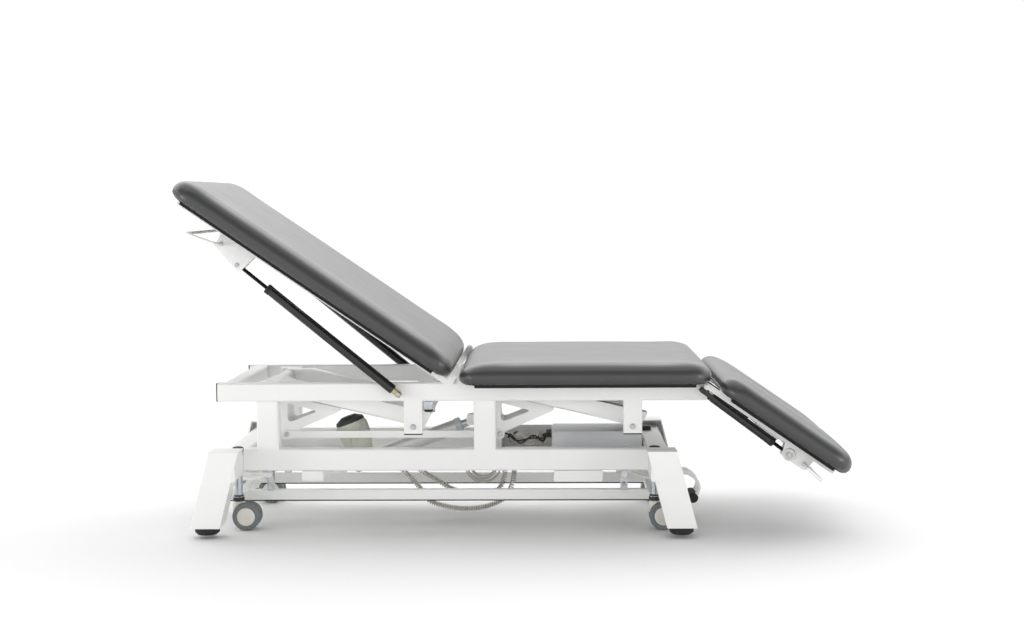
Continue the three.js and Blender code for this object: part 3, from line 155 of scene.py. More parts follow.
def turned(name: str, profile: list[tuple[float, float]], place: Vector, axis: Vector, count: int = 48,
           bored: bool = False) -> bpy.types.Object:
    """Turns a closed profile by extruding and scaling a disc along an axis.

    Args:
        name: the piece's name.
        profile: radius and distance along the axis, from one end to the other.
        place: the point of the axis at distance zero.
        axis: the direction of the axis.
        count: sides of the disc.
        bored: joins the two ends of the profile by the wall of a bore.

    Returns:
        The finished piece.
    """
    bpy.ops.object.select_all(action="DESELECT")
    first_radius, first_height = profile[0]
    bpy.ops.mesh.primitive_circle_add(
        vertices=count, radius=first_radius, fill_type="NGON", location=(0, 0, first_height)
    )
    piece = bpy.context.object
    piece.name = name
    bpy.ops.object.transform_apply(location=True, rotation=True, scale=True)
    bpy.ops.object.mode_set(mode="EDIT")
    bpy.ops.mesh.select_all(action="SELECT")
    radius, height = first_radius, first_height
    for next_radius, next_height in profile[1:]:
        bpy.ops.mesh.extrude_region_move(
            TRANSFORM_OT_translate={"value": (0, 0, next_height - height), "orient_type": "GLOBAL"}
        )
        scale = next_radius / radius
        bpy.ops.transform.resize(value=(scale, scale, 1), center_override=(0, 0, next_height))
        radius, height = next_radius, next_height
    if bored:
        bpy.ops.mesh.select_all(action="DESELECT")
        bpy.ops.object.mode_set(mode="OBJECT")
        for face in piece.data.polygons:
            face.select = len(face.vertices) == count
        bpy.ops.object.mode_set(mode="EDIT")
        bpy.ops.mesh.delete(type="ONLY_FACE")
        bpy.ops.mesh.select_all(action="DESELECT")
        bpy.ops.mesh.select_mode(type="EDGE")
        bpy.ops.mesh.select_non_manifold()
        bpy.ops.mesh.bridge_edge_loops()
    bpy.ops.mesh.select_all(action="SELECT")
    bpy.ops.mesh.normals_make_consistent(inside=False)
    bpy.ops.object.mode_set(mode="OBJECT")
    piece.matrix_world = Matrix.Translation(place) @ axis.to_track_quat("Z", "Y").to_matrix().to_4x4()
    settle(piece)
    select_only(piece)
    bpy.ops.object.shade_smooth_by_angle(angle=SMOOTH_ANGLE)
    return piece


def block(name: str, low: Vector, high: Vector, bevel: float, segments: int = 3) -> bpy.types.Object:
    """Makes a block between two corners with rounded edges.

    Args:
        name: the piece's name.
        low: the lowest corner.
        high: the highest corner.
        bevel: the radius of the edges.
        segments: steps of the rounding.

    Returns:
        The finished piece.
    """
    bpy.ops.object.select_all(action="DESELECT")
    bpy.ops.mesh.primitive_cube_add(size=1, location=(low + high) / 2)
    piece = bpy.context.object
    piece.name = name
    piece.scale = high - low
    settle(piece)
    bpy.ops.object.mode_set(mode="EDIT")
    bpy.ops.mesh.select_all(action="SELECT")
    bpy.ops.mesh.bevel(offset=bevel, segments=segments, affect="EDGES")
    bpy.ops.object.mode_set(mode="OBJECT")
    bpy.ops.object.shade_smooth_by_angle(angle=SMOOTH_ANGLE)
    return piece


def copied(piece: bpy.types.Object, name: str, move: Matrix) -> bpy.types.Object:
    """Copies a piece with a mesh of its own and moves it.

    Args:
        piece: the piece to copy.
        name: the copy's name.
        move: where the copy goes, from where the piece is.

    Returns:
        The copy.
    """
    twin = piece.copy()
    twin.data = piece.data.copy()
    twin.name = name
    bpy.context.collection.objects.link(twin)
    twin.data.transform(move)
    return twin


def aimed(piece: bpy.types.Object, start: Vector, along: Vector) -> bpy.types.Object:
    """Turns a piece that was built along +X from the origin, so that it lies along a line.

    Args:
        piece: the piece to turn.
        start: where the line starts.
        along: the line's direction, in the XZ plane.

    Returns:
        The piece.
    """
    across = Vector((0, 1, 0))
    above = along.cross(across)
    turn = Matrix((along, across, above)).transposed().to_4x4()
    piece.data.transform(Matrix.Translation(start) @ turn)
    return piece


def bolt(name: str, place: Vector, axis: Vector, across: float, washer: float) -> bpy.types.Object:
    """Makes a hexagon bolt head on its washer.

    Args:
        name: the piece's name.
        place: the middle of the face that the washer lies on.
        axis: the way that the head points.
        across: the head's width across its flats.
        washer: the radius of the washer.

    Returns:
        The finished piece.
    """
    corner = across / math.sqrt(3)
    plate = washer * 0.15
    top = plate + across * 0.42
    disc = turned("washer", [(washer, 0), (washer, plate * 0.7), (washer - plate * 0.3, plate)],
                  place, axis, 32)
    head = turned("head", [(corner * 0.96, plate), (corner, plate * 1.1), (corner, top * 0.88),
                           (corner * 0.88, top)], place, axis, 6)
    return joined(name, head, disc)


def joined(name: str, *pieces: bpy.types.Object) -> bpy.types.Object:
    """Joins pieces into one object and names it.

    Args:
        name: of the whole.
        pieces: the objects to join.

    Returns:
        The whole.
    """
    select_only(*pieces)
    bpy.ops.object.join()
    whole = bpy.context.object
    whole.name = name
    return whole


def tube(name: str, points: list[Vector], radius: float, steps: int = 4) -> bpy.types.Object:
    """Makes a round cord along a row of points as one open curve.

    Args:
        name: the piece's name.
        points: the middle line.
        radius: of the cord.
        steps: rounding of the section.

    Returns:
        The curve object.
    """
    curve = bpy.data.curves.new(name, "CURVE")
    curve.dimensions = "3D"
    curve.bevel_depth = radius
    curve.bevel_resolution = steps
    curve.use_fill_caps = True
    spline = curve.splines.new("POLY")
    spline.points.add(len(points) - 1)
    for point, place in zip(spline.points, points):
        point.co = (*place, 1)
    spline.use_smooth = True
    piece = bpy.data.objects.new(name, curve)
    bpy.context.collection.objects.link(piece)
    return piece


def line_length(points: list[Vector]) -> float:
    """Measures a row of points along its length."""
    return sum((b - a).length for a, b in zip(points, points[1:]))


def flowing(route: list[Vector], count: int) -> list[Vector]:
    """Spaces points evenly along a smooth curve through a route.

    Args:
        route: the points that the curve passes.
        count: how many points to return.

    Returns:
        The points, from the first of the route to the last.
    """
    ends = [route[0] * 2 - route[1], *route, route[-1] * 2 - route[-2]]
    fine = []
    steps = 24
    for p0, p1, p2, p3 in zip(ends, ends[1:], ends[2:], ends[3:]):
        gaps = [math.sqrt(max((b - a).length, 1e-6)) for a, b in ((p0, p1), (p1, p2), (p2, p3))]
        first = (p1 - p0) / gaps[0] - (p2 - p0) / (gaps[0] + gaps[1]) + (p2 - p1) / gaps[1]
        last = (p2 - p1) / gaps[1] - (p3 - p1) / (gaps[1] + gaps[2]) + (p3 - p2) / gaps[2]
        first *= gaps[1]
        last *= gaps[1]
        for i in range(steps):
            t = i / steps
            fine.append(
                p1 * (2 * t**3 - 3 * t**2 + 1)
                + first * (t**3 - 2 * t**2 + t)
                + p2 * (3 * t**2 - 2 * t**3)
                + last * (t**3 - t**2)
            )
    fine.append(route[-1])
    total = line_length(fine)
    spaced = [fine[0]]
    walked = 0.0
    for a, b in zip(fine, fine[1:]):
        step = (b - a).length
        while len(spaced) < count - 1 and walked + step >= total * len(spaced) / (count - 1):
            share = (total * len(spaced) / (count - 1) - walked) / step
            spaced.append(a.lerp(b, share))
        walked += step
    spaced.append(fine[-1])
    return spaced


# Finishes


class Relief(Enum):
    """How a surface was made, which sets the pattern of its fine relief."""

    ORANGE_PEEL = "sprayed powder that flowed into low waves"
    LEATHER_GRAIN = "pebbles pressed into coated cloth"
    SPARK = "fine pits of an eroded mould"
    BRUSHED = "fine lines along one way"
    CAST = "rough skin of a casting under paint"
    WOVEN = "felted or woven fibres"


@dataclass(frozen=True)
class Finish:
    """A finish: its colours, its gloss and its relief, with every size in millimetres."""

    name: str
    colour: str
    second: str
    relief: Relief
    grain_mm: float
    depth_mm: float
    patch_mm: float = 60.0
    roughness: float = 0.4
    spread: float = 0.08
    metallic: float = 0.0
    ior: float = 1.5
    coat: float = 0.0
    coat_roughness: float = 0.2
    bump: float = 0.6

    def height(self, tree: bpy.types.NodeTree, place: bpy.types.NodeSocket) -> bpy.types.NodeSocket:
        """Adds the pattern that the relief is made of.

        Args:
            tree: the material's node tree.
            place: the object coordinates.

        Returns:
            The height of the relief, from 0 to 1.
        """
        scale = 1000 / self.grain_mm
        if self.relief is Relief.LEATHER_GRAIN:
            cells = add_node(tree, "ShaderNodeTexVoronoi", {"feature": "SMOOTH_F1"},
                             {"Vector": place, "Scale": scale, "Smoothness": 0.35})
            soft = add_node(tree, "ShaderNodeTexNoise", {},
                            {"Vector": place, "Scale": scale * 0.4, "Detail": 3.0})
            both = add_node(tree, "ShaderNodeMix", {"data_type": "FLOAT"},
                            {0: 0.35, 2: cells.outputs["Distance"], 3: soft.outputs[0]})
            return both.outputs[0]
        if self.relief is Relief.BRUSHED:
            stretched = add_node(tree, "ShaderNodeMapping", {}, {0: place, 3: (0.04, 1.0, 1.0)})
            lines = add_node(tree, "ShaderNodeTexNoise", {},
                             {"Vector": stretched.outputs[0], "Scale": scale, "Detail": 2.0})
            return lines.outputs[0]
        if self.relief is Relief.WOVEN:
            waves = add_node(tree, "ShaderNodeTexWave", {"bands_direction": "DIAGONAL"},
                             {"Vector": place, "Scale": scale, "Distortion": 3.0, "Detail": 2.0})
            return waves.outputs[1]
        detail = {Relief.ORANGE_PEEL: 1.0, Relief.SPARK: 4.0, Relief.CAST: 6.0}[self.relief]
        grains = add_node(tree, "ShaderNodeTexNoise", {}, {"Vector": place, "Scale": scale, "Detail": detail})
        return grains.outputs[0]

    def build(self) -> bpy.types.Material:
        """Builds the material, or finds it if it is built.

        Returns:
            The material.
        """
        found = bpy.data.materials.get(self.name)
        if found:
            return found
        material = bpy.data.materials.new(self.name)
        material.use_nodes = True
        tree = material.node_tree
        shader = tree.nodes["Principled BSDF"]
        place = add_node(tree, "ShaderNodeTexCoord", {}, {}).outputs["Object"]
        patches = add_node(tree, "ShaderNodeTexNoise", {},
                           {"Vector": place, "Scale": 1000 / self.patch_mm, "Detail": 4.0, "Roughness": 0.6})
        tint = add_node(tree, "ShaderNodeMix", {"data_type": "RGBA"},
                        {0: patches.outputs[0], 6: to_linear(self.colour), 7: to_linear(self.second)})
        tree.links.new(tint.outputs[2], shader.inputs["Base Color"])
        gloss = add_node(tree, "ShaderNodeMapRange", {},
                         {0: patches.outputs[0], 1: 0.3, 2: 0.7, 3: self.roughness - self.spread / 2,
                          4: self.roughness + self.spread / 2})
        tree.links.new(gloss.outputs[0], shader.inputs["Roughness"])
        height = self.height(tree, place)
        bump = add_node(tree, "ShaderNodeBump", {},
                        {"Strength": self.bump, "Distance": self.depth_mm * MM, "Height": height})
        tree.links.new(bump.outputs[0], shader.inputs["Normal"])
        shader.inputs["Metallic"].default_value = self.metallic
        if self.metallic == 0:
            shader.inputs["IOR"].default_value = self.ior
        shader.inputs["Coat Weight"].default_value = self.coat
        shader.inputs["Coat Roughness"].default_value = self.coat_roughness
        material.diffuse_color = to_linear(self.colour)
        return material


# White polyester powder coat on welded steel: satin, with the low waves of flowed powder.
POWDER_COAT = Finish("white_powder_coat", "F8F8F6", "F2F2F0", Relief.ORANGE_PEEL, 1.6, 0.02, 180.0, 0.38,
                     0.08, coat=0.25, coat_roughness=0.22)
# Expanded vinyl on knitted cloth: pressed pebble grain, soft satin gloss, charcoal grey.
UPHOLSTERY_VINYL = Finish("charcoal_upholstery_vinyl", "383A38", "323432", Relief.LEATHER_GRAIN, 1.1, 0.04,
                          90.0, 0.36, 0.05, coat=0.5, coat_roughness=0.3, bump=0.35)
# Felted lining stapled under the boards: black, dull, fibrous; on the face hole's wall it is painted shade.
LINING_FELT_AND_HOLE_SHADE = Finish("black_lining_felt_and_hole_shade", "17181A", "1F2022", Relief.WOVEN, 1.2, 0.08, 40.0, 0.9, 0.05)
# Bright zinc plate on steel: a slightly blue, blotchy metal with fine drawing lines.
ZINC_PLATE = Finish("bright_zinc_plate", "C9CDD0", "AEB4B8", Relief.BRUSHED, 0.5, 0.01, 9.0, 0.3, 0.16, 1.0)
# Yellow-passivated zinc on the forks of the gas springs: pale brass with a grey bloom.
YELLOW_ZINC = Finish("yellow_zinc_plate", "CDBB95", "A99A7C", Relief.BRUSHED, 0.5, 0.01, 6.0, 0.34, 0.16, 1.0)
# Baked black enamel on the spring cylinders: deep black with a soft highlight.
BLACK_ENAMEL = Finish("black_enamel", "0E0E0F", "141415", Relief.ORANGE_PEEL, 1.2, 0.012, 50.0, 0.3, 0.08,
                      coat=0.3, coat_roughness=0.2)
# Nitrided rod: nearly black steel, ground and polished.
NITRIDED_STEEL = Finish("nitrided_rod_steel", "2A2B2D", "1E1F21", Relief.BRUSHED, 0.3, 0.005, 20.0, 0.22,
                        0.08, 1.0)
# Hammered grey-green paint over the cast motor and gear case.
MOTOR_PAINT = Finish("grey_green_motor_paint", "CFD1C6", "BDC0B2", Relief.CAST, 2.5, 0.08, 30.0, 0.5, 0.1)
# Black vulcanised rubber of the glides and stops.
BLACK_RUBBER = Finish("black_rubber", "1A1A1A", "232323", Relief.SPARK, 0.9, 0.05, 25.0, 0.72, 0.12)
# Grey thermoplastic rubber of the castor tyres, dusty from the floor.
TYRE_RUBBER = Finish("grey_tyre_rubber", "6F7476", "7E8283", Relief.SPARK, 0.8, 0.04, 14.0, 0.66, 0.14)
# Moulded nylon of the castor forks and hubs: warm white, satin.
HUB_NYLON = Finish("cream_nylon", "ECE9E0", "E3E0D6", Relief.SPARK, 0.7, 0.02, 25.0, 0.42, 0.1)
# Moulded glass-filled nylon of caps and collars: dark blue-grey, matt.
CAP_NYLON = Finish("dark_cap_nylon", "33373A", "2B2E31", Relief.SPARK, 0.7, 0.03, 18.0, 0.55, 0.1)
# Moulded ABS of the control unit: pale blue-grey with an eroded-mould texture.
CONTROL_ABS = Finish("pale_control_abs", "ECEDEF", "E4E6E8", Relief.SPARK, 0.8, 0.03, 70.0, 0.5, 0.08)
# Soft PVC jacket of the handset and motor cords: beige grey, satin.
CORD_PVC = Finish("beige_cord_pvc", "C9C5BC", "BDB9AF", Relief.SPARK, 0.6, 0.02, 12.0, 0.45, 0.1)
# Black PVC jacket of the thin leads.
BLACK_PVC = Finish("black_lead_pvc", "161617", "1E1E1F", Relief.SPARK, 0.6, 0.02, 12.0, 0.4, 0.1)
# Extruded aluminium of the actuator's outer tube, anodised clear: pale, with lines along its length.
BRUSHED_ALUMINIUM = Finish("anodised_aluminium", "DFE0DF", "CFD0CF", Relief.BRUSHED, 0.6, 0.01, 14.0, 0.42,
                           0.1, 0.7)
# Moulded nylon of the actuator's end collar: mid grey.
COLLAR_NYLON = Finish("grey_collar_nylon", "BFC3C4", "B2B6B8", Relief.SPARK, 0.7, 0.03, 18.0, 0.5, 0.1)
# Green and yellow earth lead.
EARTH_PVC = Finish("green_yellow_lead_pvc", "3D8A3A", "D7C62F", Relief.SPARK, 0.6, 0.02, 4.0, 0.4, 0.1)


def dress(piece: bpy.types.Object, finish: Finish) -> None:
    """Gives a piece one finish all over."""
    piece.data.materials.clear()
    piece.data.materials.append(finish.build())


def fit(piece: bpy.types.Object, finish: Finish, body: str) -> bpy.types.Object:
    """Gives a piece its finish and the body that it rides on.

    Args:
        piece: the finished piece.
        finish: its finish all over.
        body: the body that it moves with.

    Returns:
        The piece.
    """
    dress(piece, finish)
    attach(piece, body)
    return piece


# The studio


@dataclass
class Studio:
    """The camera at the photograph's place, a pale floor and soft light from above."""

    camera_place: Vector = field(default_factory=lambda: Vector((0.09696, -4.47824, 0.88994)))
    yaw: float = -0.0236
    pitch: float = 0.074
    roll: float = -0.0062
    focal_px: float = 1599.6
    image_width_px: int = 1024
    sensor_mm: float = 36.0
    floor_size: float = 60.0
    floor_near: float = 1.3
    floor_far: float = 3.2
    floor_glow: float = 1.02
    floor_colour: str = "F8F8F8"
    sky_strength: float = 2.6
    seen_strength: float = 1.1
    turn_from: float = -0.25
    turn_to: float = 0.35
    side_watts: float = 26.0
    side_place: tuple = (4.0, -2.6, 0.55)
    side_aim: tuple = (0, 0, 0.4)
    side_size: tuple = (1.5, 0.7)
    front_stops: tuple = ((0.0, 0.52), (0.3, 0.46), (0.46, 0.11), (0.8, 0.11), (0.92, 0.36), (1.0, 0.55))
    back_stops: tuple = ((0.0, 0.26), (0.16, 0.29), (0.34, 0.72), (0.6, 0.82), (0.85, 0.58), (1.0, 0.52))

    def camera(self) -> None:
        """Adds the camera and makes it the scene's own."""
        data = bpy.data.cameras.new("camera")
        data.sensor_width = self.sensor_mm
        data.sensor_fit = "HORIZONTAL"
        data.lens = self.focal_px / self.image_width_px * self.sensor_mm
        data.clip_end = 200
        camera = bpy.data.objects.new("camera", data)
        bpy.context.collection.objects.link(camera)
        level = Vector((math.sin(self.yaw), math.cos(self.yaw), 0))
        right = Vector((math.cos(self.yaw), -math.sin(self.yaw), 0))
        ahead = level * math.cos(self.pitch) - Vector((0, 0, 1)) * math.sin(self.pitch)
        up = Vector((0, 0, 1)) * math.cos(self.pitch) + level * math.sin(self.pitch)
        across = right * math.cos(self.roll) + up * math.sin(self.roll)
        above = up * math.cos(self.roll) - right * math.sin(self.roll)
        turn = Matrix((across, above, -ahead)).transposed().to_4x4()
        camera.matrix_world = Matrix.Translation(self.camera_place) @ turn
        bpy.context.scene.camera = camera

    def light(self, name: str, place: tuple, aim: tuple, size: tuple, watts: float) -> None:
        """Adds a soft rectangular light that faces a point.

        Args:
            name: of the light.
            place: where it stands.
            aim: what it faces.
            size: its two sides.
            watts: its power.
        """
        data = bpy.data.lights.new(name, "AREA")
        data.shape = "RECTANGLE"
        data.size, data.size_y = size
        data.energy = watts
        lamp = bpy.data.objects.new(name, data)
        bpy.context.collection.objects.link(lamp)
        turn = (Vector(aim) - Vector(place)).to_track_quat("-Z", "Y").to_matrix().to_4x4()
        lamp.matrix_world = Matrix.Translation(Vector(place)) @ turn

    def floor(self) -> None:
        """Adds the floor, a plain matt sheet that fades into the white round the scene."""
        bpy.ops.object.select_all(action="DESELECT")
        bpy.ops.mesh.primitive_plane_add(size=self.floor_size)
        floor = bpy.context.object
        floor.name = "floor"
        material = bpy.data.materials.new("studio_floor")
        material.use_nodes = True
        tree = material.node_tree
        shader = tree.nodes["Principled BSDF"]
        shader.inputs["Base Color"].default_value = to_linear(self.floor_colour)
        shader.inputs["Roughness"].default_value = 0.95
        shader.inputs["Specular IOR Level"].default_value = 0.1
        place = add_node(tree, "ShaderNodeTexCoord", {}, {}).outputs["Object"]
        reach = add_node(tree, "ShaderNodeVectorMath", {"operation": "LENGTH"}, {0: place})
        far = add_node(tree, "ShaderNodeMapRange", {"interpolation_type": "SMOOTHSTEP"},
                       {0: reach.outputs["Value"], 1: self.floor_near, 2: self.floor_far, 3: 0.0, 4: 1.0})
        glow = add_node(tree, "ShaderNodeEmission", {}, {"Strength": self.floor_glow})
        mix = add_node(tree, "ShaderNodeMixShader", {},
                       {0: far.outputs[0], 1: shader.outputs[0], 2: glow.outputs[0]})
        tree.links.new(mix.outputs[0], tree.nodes["Material Output"].inputs["Surface"])
        floor.data.materials.append(material)

    def ramp(self, tree: bpy.types.NodeTree, rise: bpy.types.NodeSocket,
             stops: tuple) -> bpy.types.NodeSocket:
        """Adds a grey ramp over the height of a ray.

        Args:
            tree: the world's node tree.
            rise: the height of the ray, 0 at the horizon and 1 overhead.
            stops: height and brightness of each stop.

        Returns:
            The colour of the ramp.
        """
        node = add_node(tree, "ShaderNodeValToRGB", {}, {0: rise})
        for height, _ in stops[1:-1]:
            node.color_ramp.elements.new(height)
        for stop, (height, share) in zip(node.color_ramp.elements, stops):
            stop.position = height
            stop.color = (share, share, share, 1)
        return node.outputs[0]

    def sky(self) -> None:
        """Surrounds the scene with light, broad from behind and dim high in front, seen as plain white."""
        world = bpy.data.worlds.new("studio")
        bpy.context.scene.world = world
        world.use_nodes = True
        tree = world.node_tree
        tree.nodes.clear()
        way = add_node(tree, "ShaderNodeTexCoord", {}, {})
        parts = add_node(tree, "ShaderNodeSeparateXYZ", {}, {0: way.outputs["Generated"]})
        front = self.ramp(tree, parts.outputs["Z"], self.front_stops)
        back = self.ramp(tree, parts.outputs["Z"], self.back_stops)
        side = add_node(tree, "ShaderNodeMapRange", {"interpolation_type": "SMOOTHSTEP"},
                        {0: parts.outputs["Y"], 1: self.turn_from, 2: self.turn_to, 3: 0.0, 4: 1.0})
        both = add_node(tree, "ShaderNodeMix", {"data_type": "RGBA"}, {0: side.outputs[0], 6: front, 7: back})
        lit = add_node(tree, "ShaderNodeBackground", {},
                       {"Color": both.outputs[2], "Strength": self.sky_strength})
        seen = add_node(tree, "ShaderNodeBackground", {}, {"Strength": self.seen_strength})
        seen.inputs["Color"].default_value = (1, 1, 1, 1)
        ray = add_node(tree, "ShaderNodeLightPath", {}, {})
        mix = add_node(tree, "ShaderNodeMixShader", {},
                       {0: ray.outputs["Is Camera Ray"], 1: lit.outputs[0], 2: seen.outputs[0]})
        add_node(tree, "ShaderNodeOutputWorld", {}, {"Surface": mix.outputs[0]})

    def build(self) -> None:
        """Sets the whole studio up."""
        self.camera()
        self.floor()
        self.sky()
        x, y, z = self.side_place
        for sign in (-1, 1):
            self.light(f"low_side_light_{sign}", (sign * x, y, z), self.side_aim, self.side_size,
                       self.side_watts)
        bpy.context.scene.view_settings.view_transform = "Standard"


# Cords


@dataclass
class Cords:
    """The free cords under the base, along the routes of their solids."""

    curl_radius: float = 5.6 * MM
    curl_wire: float = 2.0 * MM
    curl_steps: int = 14
    end_share: float = 0.07
    coil_wire: float = 2.1 * MM
    coil_radius: float = 43 * MM
    coil_wander: float = 8 * MM
    coil_pitch: float = 5 * MM
    coil_loops: int = 5
    coil_steps: int = 48
    coil_place: tuple = (45 * MM, 24 * MM, 138 * MM)
    coil_open_share: float = 2 / 14
    coil_points: int = 320
    wander_rate: float = 0.37
    wander_start: float = 1.0
    head_route: tuple = ((0, 44), (1.4, 43.6), (2.3, 39), (2.6, 28), (2.6, 12))
    tail_route: tuple = ((5, 44), (2, 46.6), (0, 46.8))
    low_curls: int = 80
    high_curls: int = 64
    tray_wall: float = 94.7 * MM
    model_shift: float = -139.371 * MM
    low_route: tuple = (
        (-207, -70, 168), (-190, -52, 150), (-172, -40, 130), (-130, -38, 84), (-106, -38, 50),
        (-60, -38, 32), (0, -36, 24), (66, -34, 33), (112, -28, 58), (132, -6, 105), (134, 24, 150),
        (134, 26, 161.7),
    )
    high_route: tuple = (
        (-172, -68, 181), (-152, -44, 158), (-126, -24, 130), (-88, -18, 105), (-45, -16, 79), (0, -14, 62),
        (50, -12, 57), (88, -8, 72), (106, 4, 108), (108, 28, 150), (108, 30, 161.7),
    )

    def placed(self, route: tuple) -> list[Vector]:
        """Turns a route in millimetres of the model into points of the row."""
        return [Vector((x * MM + self.model_shift, y * MM, z * MM)) for x, y, z in route]

    def curled(self, name: str, route: tuple, curls: int) -> bpy.types.Object:
        """Makes a curly cord that winds round a route.

        Args:
            name: the CAD node that it stands for.
            route: the middle line in millimetres of the model.
            curls: the number of turns.

        Returns:
            The cord.
        """
        count = curls * self.curl_steps
        line = flowing(self.placed(route), count + 1)
        normal = Vector((0, 1, 0))
        points = []
        for i, place in enumerate(line):
            ahead = (line[min(i + 1, count)] - line[max(i - 1, 0)]).normalized()
            normal = (normal - ahead * normal.dot(ahead)).normalized()
            side = ahead.cross(normal)
            share = i / count
            reach = self.curl_radius * min(1, share / self.end_share, (1 - share) / self.end_share)
            angle = 2 * math.pi * i / self.curl_steps
            points.append(place + normal * reach * math.cos(angle) + side * reach * math.sin(angle))
        cord = tube(f"{name}_wire", points, self.curl_wire)
        fit(cord, CORD_PVC, "base")
        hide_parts(name)
        return cord

    def beside_wall(self, route: tuple, across: float) -> list[Vector]:
        """Places a lead of the coil against the tray's wall.

        Args:
            route: how far out each point is, in wire radii, and how high over the coil's middle, in mm.
            across: how far the lead lies from the coil's first loop.

        Returns:
            The points of the lead.
        """
        wall = self.tray_wall + self.model_shift
        _, y, z = self.coil_place
        return [Vector((wall - self.coil_wire * out, y + across, z + up * MM)) for out, up in route]

    def coil(self) -> bpy.types.Object:
        """Makes the spare cable: loops side by side with both ends led to the tray.

        Returns:
            The cord.
        """
        x0, y0, z0 = self.coil_place
        x0 += self.model_shift
        wire = self.coil_wire
        turns = self.coil_loops - self.coil_open_share
        count = round(turns * self.coil_steps)
        loops = []
        for i in range(count + 1):
            angle = 2 * math.pi * turns * i / count
            wander = math.sin(angle * self.wander_rate + self.wander_start)
            radius = self.coil_radius + self.coil_wander * wander
            loops.append(Vector((x0 + radius * math.cos(angle), y0 + self.coil_pitch * turns * i / count,
                                 z0 - radius * math.sin(angle))))
        head = self.beside_wall(self.head_route, 0)
        tail = self.beside_wall(self.tail_route, self.coil_pitch * turns)
        points = flowing([*head, *loops[::4], *tail], self.coil_points)
        cord = tube("spare_cable_wire", points, wire)
        fit(cord, CORD_PVC, "base")
        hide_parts("spare_cable")
        return cord

    def build(self) -> list[bpy.types.Object]:
        """Makes every cord that has a CAD solid."""
        return [
            self.curled("curled_cord_low", self.low_route, self.low_curls),
            self.curled("curled_cord_high", self.high_route, self.high_curls),
            self.coil(),
        ]


# The welded and bolted frame


@dataclass
class FrameFinish:
    """Gives every CAD node that stays its finish, and its edges their small radii."""

    edge_radius: float = 0.9 * MM
    edge_angle: float = math.radians(40)
    flat_angle: float = math.radians(0.8)
    weld_distance: float = 0.01 * MM

    def finish_of(self, node: str) -> Finish:
        """Finds the finish of a CAD node.

        Args:
            node: its name.

        Returns:
            Its finish: powder coat, where no other is named.
        """
        starts = {
            "glide": BLACK_RUBBER, "hanger": ZINC_PLATE, "actuator_housing": MOTOR_PAINT,
            "actuator_rod": ZINC_PLATE, "control_box": CONTROL_ABS, "castor_fork": HUB_NYLON,
            "castor_wheels": TYRE_RUBBER, "back_cushion": UPHOLSTERY_VINYL,
            "seat_cushion": UPHOLSTERY_VINYL, "head_cushion": UPHOLSTERY_VINYL,
            "curled": CORD_PVC, "spare": CORD_PVC,
            "back_spring_cylinder": BLACK_ENAMEL, "head_spring_cylinder": BLACK_ENAMEL,
            "back_spring_rod": NITRIDED_STEEL, "head_spring_rod": NITRIDED_STEEL,
        }
        for start, finish in starts.items():
            if node.startswith(start):
                return finish
        return POWDER_COAT

    def soften(self, piece: bpy.types.Object, radius: float) -> None:
        """Rounds the sharp edges of a CAD node with live modifiers and smooths its round faces.

        Args:
            piece: the node's object.
            radius: of the rounded edges.
        """
        select_only(piece)
        bpy.ops.object.shade_smooth()
        weld = piece.modifiers.new("weld", "WELD")
        weld.merge_threshold = self.weld_distance
        merge = piece.modifiers.new("flat_faces", "DECIMATE")
        merge.decimate_type = "DISSOLVE"
        merge.angle_limit = self.flat_angle
        merge.delimit = {"MATERIAL"}
        edges = piece.modifiers.new("edges", "BEVEL")
        edges.width = radius
        edges.segments = 2
        edges.limit_method = "ANGLE"
        edges.angle_limit = self.edge_angle
        edges.use_clamp_overlap = True
        normals = piece.modifiers.new("normals", "WEIGHTED_NORMAL")
        normals.keep_sharp = False

    def build(self) -> None:
        """Dresses and softens every CAD node."""
        for name, piece in nodes.items():
            dress(piece, self.finish_of(name))
            self.soften(piece, self.edge_radius)


# Upholstery


